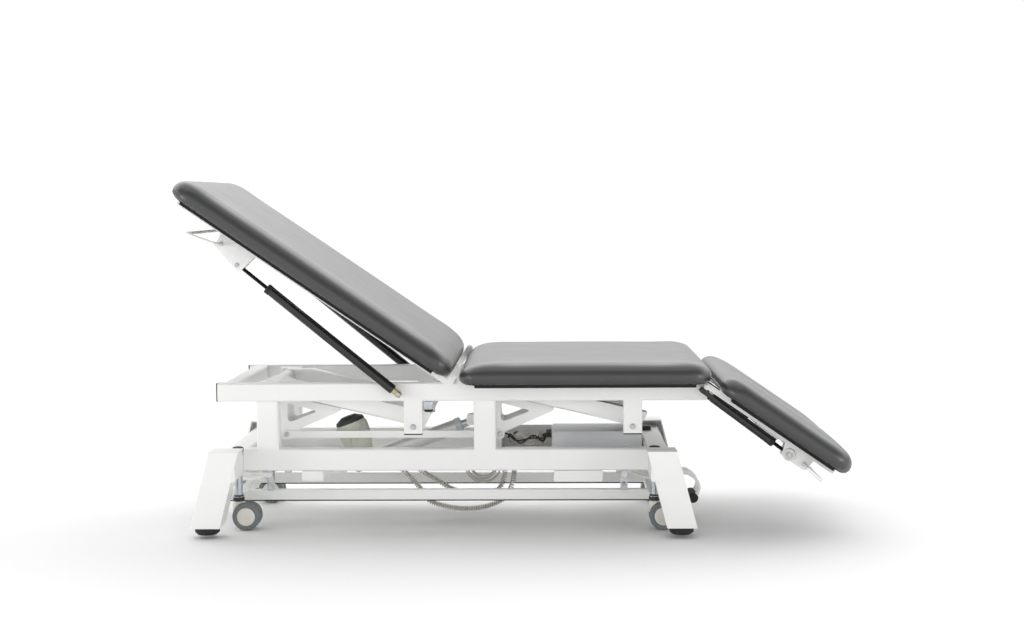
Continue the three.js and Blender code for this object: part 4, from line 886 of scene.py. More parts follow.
@dataclass
class Upholstery:
    """The three upholstered panels: vinyl drawn over foam, held to a board by its lower edge."""

    board_z: float = 404.8 * MM
    board_hold: float = 7 * MM
    voxel: float = 7.8 * MM
    swell_cap: float = 4 * MM
    shrink: float = 0.2 * MM
    smoothing: int = 1
    frames: int = 20
    settling: int = 14
    end_share: float = 0.55
    end_pull: float = 1.4 * MM
    pressure: float = 4.0
    pucker_reach: float = 150 * MM
    pucker_depth: float = 0.9 * MM
    pucker_spacing: float = 13 * MM
    pucker_height: float = 26 * MM
    # hole_half, hole_share and wall_slope bound the face hole's wall that gets black felt as painted shade.
    hole_half: float = 90 * MM
    edge_inset: float = 16 * MM
    edge_width: float = 26 * MM
    edge_drop: float = 6 * MM
    edge_ends: float = 44 * MM
    edge_lap: float = 3 * MM
    edge_bevel: float = 1.5 * MM
    pucker_middle: float = 9 * MM
    pucker_wander: float = 9.0
    pucker_wander_rate: float = 31.0
    corner_inset: float = 40 * MM
    under_slope: float = -0.85
    wall_slope: float = 0.35
    hole_share: float = 0.8
    back_tilt: float = math.radians(34.36)
    head_tilt: float = math.radians(34.5)
    cloth: ClassVar[dict[str, float]] = {
        "quality": 5, "mass": 0.4, "tension_stiffness": 40, "compression_stiffness": 40,
        "shear_stiffness": 12, "bending_stiffness": 3,
    }

    def copy_of(self, node: str, name: str) -> bpy.types.Object:
        """Copies a CAD cushion and merges its loose triangles.

        Args:
            node: the CAD cushion.
            name: the copy's name.

        Returns:
            The copy.
        """
        cushion = bpy.data.objects.new(name, nodes[node].data.copy())
        bpy.context.collection.objects.link(cushion)
        select_only(cushion)
        bpy.ops.object.mode_set(mode="EDIT")
        bpy.ops.mesh.select_all(action="SELECT")
        bpy.ops.mesh.remove_doubles(threshold=0.01 * MM)
        bpy.ops.transform.shrink_fatten(value=self.shrink)
        bpy.ops.object.mode_set(mode="OBJECT")
        if "custom_normal" in cushion.data.attributes:
            cushion.data.attributes.remove(cushion.data.attributes["custom_normal"])
        return cushion

    def swell(self, cushion: bpy.types.Object) -> None:
        """Lets the cover swell while its lower edge is held and the foam bars it from moving inwards.

        Args:
            cushion: the panel, lying flat.
        """
        group = cushion.vertex_groups.new(name="board")
        outwards = [v.normal.copy() for v in cushion.data.vertices]
        rest = [v.co.copy() for v in cushion.data.vertices]
        held = [v.index for v in cushion.data.vertices if v.co.z < self.board_z + self.board_hold]
        group.add(held, 1.0, "REPLACE")
        select_only(cushion)
        cloth = cushion.modifiers.new("swell", "CLOTH")
        for setting, value in self.cloth.items():
            setattr(cloth.settings, setting, value)
        cloth.settings.use_pressure = True
        cloth.settings.uniform_pressure_force = self.pressure
        cloth.settings.effector_weights.gravity = 0
        cloth.settings.vertex_group_mass = "board"
        cloth.point_cache.frame_start = 1
        cloth.point_cache.frame_end = self.frames
        for step in range(1, self.frames + 1):
            bpy.context.scene.frame_set(step)
        bpy.ops.object.modifier_apply(modifier="swell")
        bpy.context.scene.frame_set(1)
        moves = []
        for vertex, start, outward in zip(cushion.data.vertices, rest, outwards):
            move = max(0.0, (vertex.co - start).dot(outward))
            at_end = abs(outward.x) > self.end_share
            moves.append(-self.end_pull if at_end else self.swell_cap * math.tanh(move / self.swell_cap))
        pairs = [tuple(edge.vertices) for edge in cushion.data.edges]
        for _ in range(self.settling):
            sums = list(moves)
            counts = [1] * len(moves)
            for a, b in pairs:
                sums[a] += moves[b]
                sums[b] += moves[a]
                counts[a] += 1
                counts[b] += 1
            moves = [total / count for total, count in zip(sums, counts)]
        for vertex, start, outward, move in zip(cushion.data.vertices, rest, outwards, moves):
            vertex.co = start + outward * move

    def pucker(self, cushion: bpy.types.Object, corners: list[Vector]) -> None:
        """Gathers the cover in small folds where it is drawn round the lower corners.

        Args:
            cushion: the panel, lying flat.
            corners: the middle of each corner's round, seen from above.
        """
        outwards = [v.normal.copy() for v in cushion.data.vertices]
        for vertex, outward in zip(cushion.data.vertices, outwards):
            place = vertex.co
            height = place.z - self.board_z
            near = min((Vector((place.x, place.y)) - corner).length for corner in corners)
            low = max(0.0, 1 - abs(height - self.pucker_middle) / self.pucker_height)
            close = max(0.0, 1 - near / self.pucker_reach)
            if low == 0 or close == 0:
                continue
            wander = self.pucker_wander * math.sin(place.x * self.pucker_wander_rate)
            wave = math.sin(2 * math.pi * (place.x - place.y) / self.pucker_spacing + wander)
            vertex.co += outward * self.pucker_depth * wave * low * low * close * close

    def line_under_and_shade_hole(self, cushion: bpy.types.Object, half_length: float) -> None:
        """Covers the underside with felted lining, and the face hole's wall with black felt as painted shade.

        Args:
            cushion: the panel, lying flat.
            half_length: half of its length.
        """
        cushion.data.materials.append(LINING_FELT_AND_HOLE_SHADE.build())
        middle = sum((v.co for v in cushion.data.vertices), Vector()) / len(cushion.data.vertices)
        for face in cushion.data.polygons:
            normal = face.normal
            place = face.center
            inwards = (place.x - middle.x) * normal.x + place.y * normal.y < 0
            along = abs(place.x - middle.x)
            inside = abs(place.y) < self.hole_half and along < half_length * self.hole_share
            # Black felt on the inward walls of the face hole is painted shade of the hole.
            if normal.z < self.under_slope or (inside and inwards and normal.z < self.wall_slope):
                face.material_index = 1

    def board_edge(self, node: str, body: str, flat: Matrix, low: Vector, high: Vector) -> bpy.types.Object:
        """Makes the felt-covered edge of the board that shows under the cover on both long sides.

        Args:
            node: the CAD cushion.
            body: the body that it rides on.
            flat: the turn that lays the section flat.
            low: the lowest corner of the flat cushion.
            high: its highest corner.

        Returns:
            Both strips as one piece.
        """
        reach, drop = high.y - self.edge_inset, self.edge_drop
        strips = []
        for sign in SIDES.values():
            y0, y1 = sorted((sign * (reach - self.edge_width), sign * reach))
            strips.append(block("strip", Vector((low.x + self.edge_ends, y0, self.board_z - drop)),
                                Vector((high.x - self.edge_ends, y1, self.board_z + self.edge_lap)),
                                self.edge_bevel, 3))
        piece = joined(node.replace("cushion", "board_edge"), *strips)
        piece.data.transform(flat.inverted())
        return fit(piece, LINING_FELT_AND_HOLE_SHADE, body)

    def panel(self, node: str, body: str, hinge: Vector, tilt: float) -> list[bpy.types.Object]:
        """Makes one upholstered panel.

        Args:
            node: the CAD cushion that it stands for.
            body: the body that it rides on.
            hinge: a point of the hinge that it is turned about.
            tilt: its turn about +Y from flat, in radians.

        Returns:
            The panel and the edge of its board.
        """
        centre = Matrix.Translation(hinge)
        flat = centre @ Matrix.Rotation(-tilt, 4, "Y") @ centre.inverted()
        cushion = self.copy_of(node, node.replace("cushion", "upholstery"))
        cushion.data.transform(flat)
        apply_modifier(cushion, "REMESH", mode="VOXEL", voxel_size=self.voxel)
        apply_modifier(cushion, "SMOOTH", factor=0.5, iterations=self.smoothing)
        self.swell(cushion)
        dress(cushion, UPHOLSTERY_VINYL)
        flat_points = [v.co.copy() for v in cushion.data.vertices]
        low_x = min(p.x for p in flat_points)
        high_x = max(p.x for p in flat_points)
        half = max(p.y for p in flat_points)
        inset = self.corner_inset
        corners = [Vector((x, y)) for x in (low_x + inset, high_x - inset)
                   for y in (-half + inset, half - inset)]
        apply_modifier(cushion, "SUBSURF", levels=1, render_levels=1)
        self.pucker(cushion, corners)
        self.line_under_and_shade_hole(cushion, (high_x - low_x) / 2)
        cushion.data.transform(flat.inverted())
        select_only(cushion)
        bpy.ops.object.shade_smooth()
        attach(cushion, body)
        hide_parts(node)
        low, high = Vector((low_x, -half, 0)), Vector((high_x, half, 0))
        return [cushion, self.board_edge(node, body, flat, low, high)]

    def build(self) -> list[bpy.types.Object]:
        """Makes the three panels.

        Returns:
            The panels and the edges of their boards.
        """
        back = self.panel("back_cushion", "back_section", joint_place("back_tilt"), self.back_tilt)
        seat = self.panel("seat_cushion", "upper_frame", Vector((0, 0, 0)), 0.0)
        head = self.panel("head_cushion", "head_section", joint_place("head_tilt"), self.head_tilt)
        return back + seat + head


# Castors


@dataclass
class Castors:
    """Twin-wheel castors with grey tyres on cream hubs, and zinc stems with dark collars and caps."""

    radius: float = 37.5 * MM
    width: float = 19 * MM
    hub_radius: float = 24 * MM
    hub_crown: float = 0.8 * MM
    inside: float = 7 * MM
    round_edge: float = 4 * MM
    stem_radius: float = 11.2 * MM
    collar_radius: float = 15.3 * MM
    collar_bottom: float = 77.5 * MM
    collar_top: float = 90.3 * MM
    beam_top: float = 212 * MM

    def wheel(self, place: Vector, way: int) -> tuple[bpy.types.Object, bpy.types.Object]:
        """Makes the tyre and the hub of one wheel.

        Args:
            place: the middle of the castor's axle.
            way: the side of the fork that the wheel stands on.

        Returns:
            The tyre and the hub.
        """
        out = Vector((0, way, 0))
        a, b = self.inside, self.inside + self.width
        r, e = self.radius, self.round_edge
        rim = [(self.hub_radius, a + 1 * MM), (r - e, a), (r - e * 0.3, a + e * 0.3), (r, a + e)]
        rim += [(r, b - e), (r - e * 0.3, b - e * 0.3), (r - e, b), (self.hub_radius + 2 * MM, b),
                (self.hub_radius, b - 1 * MM)]
        tyre = turned("tyre", rim, place, out, 64)
        h = self.hub_radius
        face = b + self.hub_crown
        hub = turned("hub", [
            (h + 0.6 * MM, a + 3 * MM), (h + 0.6 * MM, b - 1 * MM), (h - 0.8 * MM, b),
            (h * 0.6, face - 0.4 * MM), (h * 0.25, face), (0.3 * MM, face),
        ], place, out, 64)
        return tyre, hub

    def stem(self, side: str, end: str) -> list[bpy.types.Object]:
        """Makes the zinc sleeve, the dark collar and the dark cap of one stem.

        Args:
            side: near or far.
            end: left or right.

        Returns:
            The three pieces.
        """
        place = joint_place(f"castor_swivel_{side}_{end}")
        place.z = 0
        up = Vector((0, 0, 1))
        s, c = self.stem_radius, self.collar_radius
        low, high, top = self.collar_bottom, self.collar_top, self.beam_top
        sleeve = turned(f"stem_sleeve_{side}_{end}", [(s, high - 1 * MM), (s, top + 1 * MM)], place, up, 40)
        collar = turned(f"stem_collar_{side}_{end}", [
            (c - 1 * MM, low), (c, low + 1 * MM), (c, high - 2 * MM), (s + 1.6 * MM, high),
            (s + 1.2 * MM, high + 4 * MM), (s - 1 * MM, high + 5 * MM),
        ], place, up, 40)
        cap = turned(f"stem_cap_{side}_{end}", [
            (c, top + 0.5 * MM), (c, top + 9 * MM), (c - 2 * MM, top + 12.6 * MM),
            (c - 6 * MM, top + 13.8 * MM), (0.5 * MM, top + 14 * MM),
        ], place, up, 40)
        return [
            fit(sleeve, ZINC_PLATE, "castor_frame"),
            fit(collar, CAP_NYLON, "castor_frame"),
            fit(cap, CAP_NYLON, "castor_frame"),
        ]

    def build(self) -> list[bpy.types.Object]:
        """Makes the wheels and stems of the four castors.

        Returns:
            Every piece of them.
        """
        made = []
        for side in SIDES:
            for end in ENDS:
                node = f"castor_wheels_{side}_{end}"
                low, high = (Vector(corner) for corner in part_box(node))
                middle = (low + high) / 2
                pairs = [self.wheel(middle, way) for way in (-1, 1)]
                tyres = joined(f"castor_tyres_{side}_{end}", *[pair[0] for pair in pairs])
                hubs = joined(f"castor_hubs_{side}_{end}", *[pair[1] for pair in pairs])
                for piece, finish in ((tyres, TYRE_RUBBER), (hubs, HUB_NYLON)):
                    made.append(fit(piece, finish, node))
                    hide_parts(node)
                made += self.stem(side, end)
        return made


# Bolts, caps and stops


@dataclass
class Fasteners:
    """Zinc hexagon bolts on washers, wherever a pivot shows its outer end."""

    pivot_across: float = 11 * MM
    pivot_washer: float = 8.2 * MM
    hinge_across: float = 10 * MM
    hinge_washer: float = 7.2 * MM
    small_across: float = 8 * MM
    small_washer: float = 6 * MM
    rail_face: float = 246.2 * MM
    side_face: float = 281.3 * MM
    clevis_face: float = 273.8 * MM
    link_face: float = 149.3 * MM
    tie_face: float = 138.6 * MM
    link_height: float = 105.5 * MM

    def put(self, name: str, place: Vector, out: Vector, across: float, washer: float, body: str,
            finish: Finish = ZINC_PLATE) -> bpy.types.Object:
        """Adds one bolt that rides on a body.

        Args:
            name: the piece's name.
            place: the middle of the face that the washer lies on.
            out: the way that the head points.
            across: the head's width across its flats.
            washer: the radius of the washer.
            body: the body that it rides on.
            finish: of the whole bolt.

        Returns:
            The bolt.
        """
        return fit(bolt(name, place, out, across, washer), finish, body)

    def on(self, point: Vector, sign: int, face: float) -> Vector:
        """The point of a joint moved out to a face of one side."""
        return Vector((point.x, sign * face, point.z))

    def build(self) -> list[bpy.types.Object]:
        """Makes every bolt of the table.

        Returns:
            The bolts.
        """
        made = []
        spacing = joint_place("lift_right").x - joint_place("lift").x
        left = joint_place("frame_level")
        for side, sign in SIDES.items():
            out = Vector((0, sign, 0))
            for end, shift in (("left", 0.0), ("right", spacing)):
                place = self.on(left + Vector((shift, 0, 0)), sign, self.rail_face)
                made.append(self.put(f"bracket_bolt_{side}_{end}", place, out, self.pivot_across,
                                     self.pivot_washer, "upper_frame"))
                link = joint_place(f"pedal_{end}_turn")
                made.append(self.put(f"pedal_bolt_{side}_{end}", self.on(link, sign, self.link_face), out,
                                     self.hinge_across, self.hinge_washer, "base"))
                link.z = self.link_height
                made.append(self.put(f"link_bolt_{side}_{end}", self.on(link, sign, self.link_face), out,
                                     self.hinge_across, self.hinge_washer, "castor_frame"))
            for part in ("back", "head"):
                hinge = self.on(joint_place(f"{part}_tilt"), sign, self.side_face)
                made.append(self.put(f"{part}_hinge_bolt_{side}", hinge, out, self.hinge_across,
                                     self.hinge_washer, "upper_frame", POWDER_COAT))
                foot = self.on(joint_place(f"{part}_spring_swing_{side}"), sign, self.clevis_face)
                made.append(self.put(f"{part}_spring_foot_bolt_{side}", foot, out, self.small_across,
                                     self.small_washer, "upper_frame",
                                     ZINC_PLATE if part == "back" else BLACK_ENAMEL))
                release = self.on(joint_place(f"{part}_release"), sign, self.side_face)
                made.append(self.put(f"{part}_release_bolt_{side}", release, out, self.small_across,
                                     self.small_washer, f"{part}_section"))
                made.append(self.head_pin(part, side, sign))
        tie = joint_place("tie_level")
        for end, shift, body in (("left", 0.0, "arms_left"), ("right", spacing, "arms_right")):
            place = Vector((tie.x + shift, -self.tie_face, tie.z))
            made.append(self.put(f"tie_bolt_{end}", place, Vector((0, -1, 0)), self.hinge_across,
                                 self.hinge_washer, body))
        return made

    def head_pin(self, part: str, side: str, sign: int) -> bpy.types.Object:
        """Makes the bolt head over the upper eye of a gas spring.

        Args:
            part: the section that it belongs to.
            side: near or far.
            sign: the way out on that side.

        Returns:
            The bolt head on its washer.
        """
        foot = joint_place(f"{part}_spring_swing_{side}")
        place = foot + joint_axis(f"{part}_spring_extend_{side}") * GasSprings.spans[part]
        across = self.small_across if part == "back" else self.pivot_across
        return self.put(f"{part}_spring_head_bolt_{side}", self.on(place, sign, self.side_face),
                        Vector((0, sign, 0)), across, across * 0.75, f"{part}_section")


@dataclass
class TubeCaps:
    """Black plastic that closes the tube ends, and black strips under the castor bars as painted shade."""

    proud: float = 3.4 * MM
    inset: float = 0.6 * MM
    rail_outer: float = 246 * MM
    rail_inner: float = 221 * MM
    rail_top: float = 404.5 * MM
    rail_bottom: float = 354.5 * MM
    bracket_half: float = 25 * MM
    bracket_bottom: float = 267 * MM
    bar_outer: float = 143 * MM
    bar_inner: float = 123 * MM
    bar_bottom: float = 69 * MM
    # Height of the black strip under each castor bar, which is painted shade.
    strip: float = 2.6 * MM
    dish: float = 0.5 * MM
    least_face: float = 1e-4

    def cap(self, name: str, low: Vector, high: Vector, out: Vector, body: str) -> bpy.types.Object:
        """Makes one cap with a low dish in its outer face.

        Args:
            name: the piece's name.
            low: the lowest corner.
            high: the highest corner.
            out: the way that the cap faces.
            body: the body that it rides on.

        Returns:
            The cap.
        """
        piece = block(name, low, high, self.inset, 2)
        for face in piece.data.polygons:
            face.select = face.normal.dot(out) > 0.99 and face.area > self.least_face
        bpy.ops.object.mode_set(mode="EDIT")
        bpy.ops.mesh.select_mode(type="FACE")
        bpy.ops.mesh.inset(thickness=3 * self.inset)
        bpy.ops.transform.translate(value=-out * self.dish)
        bpy.ops.object.mode_set(mode="OBJECT")
        return fit(piece, BLACK_RUBBER, body)

    def build(self) -> list[bpy.types.Object]:
        """Makes the caps of the rails and brackets, and the strips painted as shade under the castor bars.

        Returns:
            The caps and strips.
        """
        made = []
        rail_low, rail_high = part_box("upper_rail_near")
        bar_low, bar_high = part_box("castor_frame")
        left = joint_place("frame_level").x
        spacing = joint_place("lift_right").x - joint_place("lift").x
        g = self.inset
        for side, sign in SIDES.items():
            y0, y1 = sorted((sign * (self.rail_inner + g), sign * (self.rail_outer - g)))
            for end, sense in ENDS.items():
                x = rail_low[0] if sense < 0 else rail_high[0]
                x0, x1 = sorted((x, x + sense * self.proud))
                made.append(self.cap(f"rail_cap_{side}_{end}", Vector((x0, y0, self.rail_bottom + g)),
                                     Vector((x1, y1, self.rail_top - g)), Vector((sense, 0, 0)),
                                     "upper_frame"))
                x = left + (spacing if sense > 0 else 0)
                half = self.bracket_half - g
                made.append(self.cap(f"bracket_cap_{side}_{end}",
                                     Vector((x - half, y0, self.bracket_bottom - self.proud)),
                                     Vector((x + half, y1, self.bracket_bottom)), Vector((0, 0, -1)),
                                     "upper_frame"))
            # A black strip along the bottom of each castor bar: painted shade of the bar's underside.
            y0, y1 = sorted((sign * (self.bar_inner + g), sign * (self.bar_outer - g)))
            made.append(self.cap(f"castor_bar_shade_strip_{side}",
                                 Vector((bar_low[0] + g, y0, self.bar_bottom - self.strip)),
                                 Vector((bar_high[0] - g, y1, self.bar_bottom)), Vector((0, 0, -1)),
                                 "castor_frame"))
        return made


# Gas springs


@dataclass
class GasSprings:
    """Fittings of the four gas springs: a yellow-zinc fork at the foot, a black ball joint at the head."""

    spans: ClassVar[dict[str, float]] = {"back": 544.06 * MM, "head": 282.19 * MM}
    radii: ClassVar[dict[str, float]] = {"back": 13 * MM, "head": 12 * MM}
    starts: ClassVar[dict[str, float]] = {"back": 17 * MM, "head": 28 * MM}
    ends: ClassVar[dict[str, float]] = {"back": 446 * MM, "head": 233 * MM}
    fork_half: float = 6.6 * MM
    fork_width: float = 10.5 * MM
    fork_back: float = 9 * MM
    fork_bevel: float = 2.5 * MM
    ball_radius: float = 10.4 * MM
    ball_half: float = 5.2 * MM
    nut_radius: float = 8 * MM
    nut_length: float = 5 * MM
    pin_radius: float = 4.2 * MM
    pin_half: float = 7 * MM
    rod_radius: float = 5.4 * MM
    nose: float = 12 * MM

    def fork(self, part: str, side: str) -> bpy.types.Object:
        """Makes the fork at the foot of a spring.

        Args:
            part: the section that it holds up.
            side: near or far.

        Returns:
            The fork, along +X from the origin.
        """
        low = Vector((-self.fork_back, -self.fork_width, -self.fork_half))
        high = Vector((self.starts[part] + 2 * MM, self.fork_width, self.fork_half))
        piece = block(f"{part}_spring_fork_{side}", low, high, self.fork_bevel, 4)
        dress(piece, YELLOW_ZINC if part == "back" else BLACK_ENAMEL)
        return piece

    def guide(self, part: str, side: str) -> bpy.types.Object:
        """Makes the stepped guide sleeve at the rod end of a cylinder.

        Args:
            part: the section that it holds up.
            side: near or far.

        Returns:
            The sleeve, along +X from the origin.
        """
        r, end = self.radii[part] + 0.5 * MM, self.ends[part]
        x = Vector((1, 0, 0))
        piece = turned(f"{part}_spring_guide_{side}", [
            (self.rod_radius, end - self.nose), (r - 0.5 * MM, end - self.nose),
            (r, end - self.nose + 1 * MM), (r, end - 1 * MM), (r - 1.4 * MM, end + 1.2 * MM),
            (self.rod_radius + 1 * MM, end + 1.6 * MM),
            (self.rod_radius, end + 1 * MM),
        ], Vector((0, 0, 0)), x, 40, bored=True)
        dress(piece, BLACK_RUBBER)
        return piece

    def ball(self, part: str, side: str) -> bpy.types.Object:
        """Makes the ball joint at the end of a rod, with a nut where the rod doesn't run all the way in.

        Args:
            part: the section that it holds up.
            side: near or far.

        Returns:
            The joint, along +X from the origin.
        """
        span = self.spans[part]
        y = Vector((0, 1, 0))
        r, h = self.ball_radius, self.ball_half
        eye = turned("eye", [(r - 2 * MM, -h), (r - 0.6 * MM, -h + 1 * MM), (r, -h * 0.4), (r, h * 0.4),
                             (r - 0.6 * MM, h - 1 * MM), (r - 2 * MM, h)], Vector((span, 0, 0)), y, 32)
        p, q = self.pin_radius, self.pin_half
        pin = turned("pin", [(p * 0.8, -q), (p, -q + 0.8 * MM), (p, q - 0.8 * MM), (p * 0.8, q)],
                     Vector((span, 0, 0)), y, 24)
        parts = [eye, pin]
        if part == "head":
            n, start = self.nut_radius, span - r - self.nut_length
            profile = [(n * 0.9, start), (n, start + 1 * MM), (n, start + self.nut_length),
                       (n * 0.75, span - r + 3 * MM)]
            parts.append(turned("nut", profile, Vector((0, 0, 0)), Vector((1, 0, 0)), 6))
        piece = joined(f"{part}_spring_ball_{side}", *parts)
        dress(piece, BLACK_ENAMEL)
        return piece

    def build(self) -> list[bpy.types.Object]:
        """Makes the fittings of every spring.

        Returns:
            The fittings, each at its spring.
        """
        made = []
        for part in ("back", "head"):
            for side in SIDES:
                foot = joint_place(f"{part}_spring_swing_{side}")
                along = joint_axis(f"{part}_spring_extend_{side}")
                for piece, body in ((self.fork(part, side), "cylinder"), (self.guide(part, side), "cylinder"),
                                    (self.ball(part, side), "rod")):
                    aimed(piece, foot, along)
                    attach(piece, f"{part}_spring_{body}_{side}")
                    made.append(piece)
        return made


# Actuator


@dataclass
class Actuator:
    """Dress of the lift's actuator: a grooved tube with its end collar, and the motor's ribs and cap."""

    tube_from: float = 117 * MM
    tube_to: float = 338 * MM
    tube_radius: float = 20.8 * MM
    groove_depth: float = 1.3 * MM
    grooves: int = 4
    facets: int = 64
    collar_to: float = 351.5 * MM
    collar_radius: float = 22.4 * MM
    rod_room: float = 11.6 * MM
    motor_at: float = 63.36 * MM
    motor_stand: float = 11.4 * MM
    motor_height: float = 118 * MM
    motor_radius: float = 43 * MM
    ribs: int = 7
    rib_width: float = 3 * MM
    rib_proud: float = 2.2 * MM
    rib_spread: float = math.radians(150)
    rib_first: float = math.radians(-105)
    rib_from_share: float = 0.44
    rib_to_share: float = 0.79

    def tube(self) -> bpy.types.Object:
        """Makes the outer tube as an extruded profile with long grooves.

        Returns:
            The tube, along +X from the origin.
        """
        r = self.tube_radius
        x = Vector((1, 0, 0))
        piece = turned("actuator_tube", [(r - 0.8 * MM, self.tube_from), (r, self.tube_from + 0.8 * MM),
                                         (r, self.tube_to)], Vector((0, 0, 0)), x, self.facets)
        step = 2 * math.pi / self.grooves
        for face in piece.data.polygons:
            turn = math.atan2(face.normal.y, face.normal.z) + step / 8
            long_side = abs(face.normal.x) < 0.1 and face.area > 1e-4
            face.select = long_side and turn % step < step * 0.26
        select_only(piece)
        bpy.ops.object.mode_set(mode="EDIT")
        bpy.ops.mesh.select_mode(type="FACE")
        bpy.ops.mesh.inset(thickness=0.5 * MM)
        bpy.ops.mesh.extrude_region_shrink_fatten(TRANSFORM_OT_shrink_fatten={"value": -self.groove_depth})
        bpy.ops.object.mode_set(mode="OBJECT")
        dress(piece, BRUSHED_ALUMINIUM)
        return piece

    def collar(self) -> bpy.types.Object:
        """Makes the moulded collar at the tube's front end.

        Returns:
            The collar, along +X from the origin.
        """
        r, a, b = self.collar_radius, self.tube_to, self.collar_to
        piece = turned("actuator_collar", [
            (self.rod_room, a - 2 * MM), (r - 1 * MM, a - 2 * MM), (r, a - 1 * MM), (r, b - 2 * MM),
            (r - 2 * MM, b), (self.rod_room + 3 * MM, b), (self.rod_room + 1 * MM, b + 2 * MM),
            (self.rod_room, b + 2 * MM),
        ], Vector((0, 0, 0)), Vector((1, 0, 0)), 48, bored=True)
        dress(piece, COLLAR_NYLON)
        return piece

    def motor(self) -> bpy.types.Object:
        """Makes the ribs along the motor's casing.

        Returns:
            The ribs as one piece.
        """
        r = self.motor_radius
        low = self.motor_stand + self.motor_height * self.rib_from_share
        high = self.motor_stand + self.motor_height * self.rib_to_share
        w = self.rib_width / 2
        first = block("rib", Vector((r - 2 * MM, -w, low)), Vector((r + self.rib_proud, w, high)),
                      1.2 * MM, 3)
        ribs = [first]
        for i in range(1, self.ribs):
            turn = Matrix.Rotation(self.rib_spread * i / (self.ribs - 1), 4, "Z")
            ribs.append(copied(first, f"rib_{i}", turn))
        whole = joined("actuator_motor_ribs", *ribs)
        whole.data.transform(Matrix.Rotation(self.rib_first, 4, "Z"))
        whole.data.transform(Matrix.Translation(Vector((self.motor_at, 0, 0))))
        dress(whole, MOTOR_PAINT)
        return whole

    def motor_cap(self) -> bpy.types.Object:
        """Makes the dark moulded cap on the motor.

        Returns:
            The cap.
        """
        r, z, h = self.motor_radius, self.motor_stand, self.motor_height
        piece = turned("actuator_motor_cap", [
            (r * 0.92, z + h * 0.86), (r * 0.95, z + h * 0.87), (r * 0.9, z + h * 0.935),
            (r * 0.54, z + h * 1.005), (r * 0.5, z + h * 1.02), (0.5 * MM, z + h * 1.025),
        ], Vector((self.motor_at, 0, 0)), Vector((0, 0, 1)), 48)
        dress(piece, CAP_NYLON)
        return piece

    def build(self) -> list[bpy.types.Object]:
        """Makes the pieces that ride on the actuator's housing.

        Returns:
            The pieces, each at the actuator.
        """
        place = joint_place("actuator_swing")
        along = joint_axis("actuator_extend").normalized()
        made = [self.tube(), self.collar(), self.motor(), self.motor_cap()]
        for piece in made:
            aimed(piece, place, along)
            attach(piece, "actuator_housing")
        return made


# Small fittings


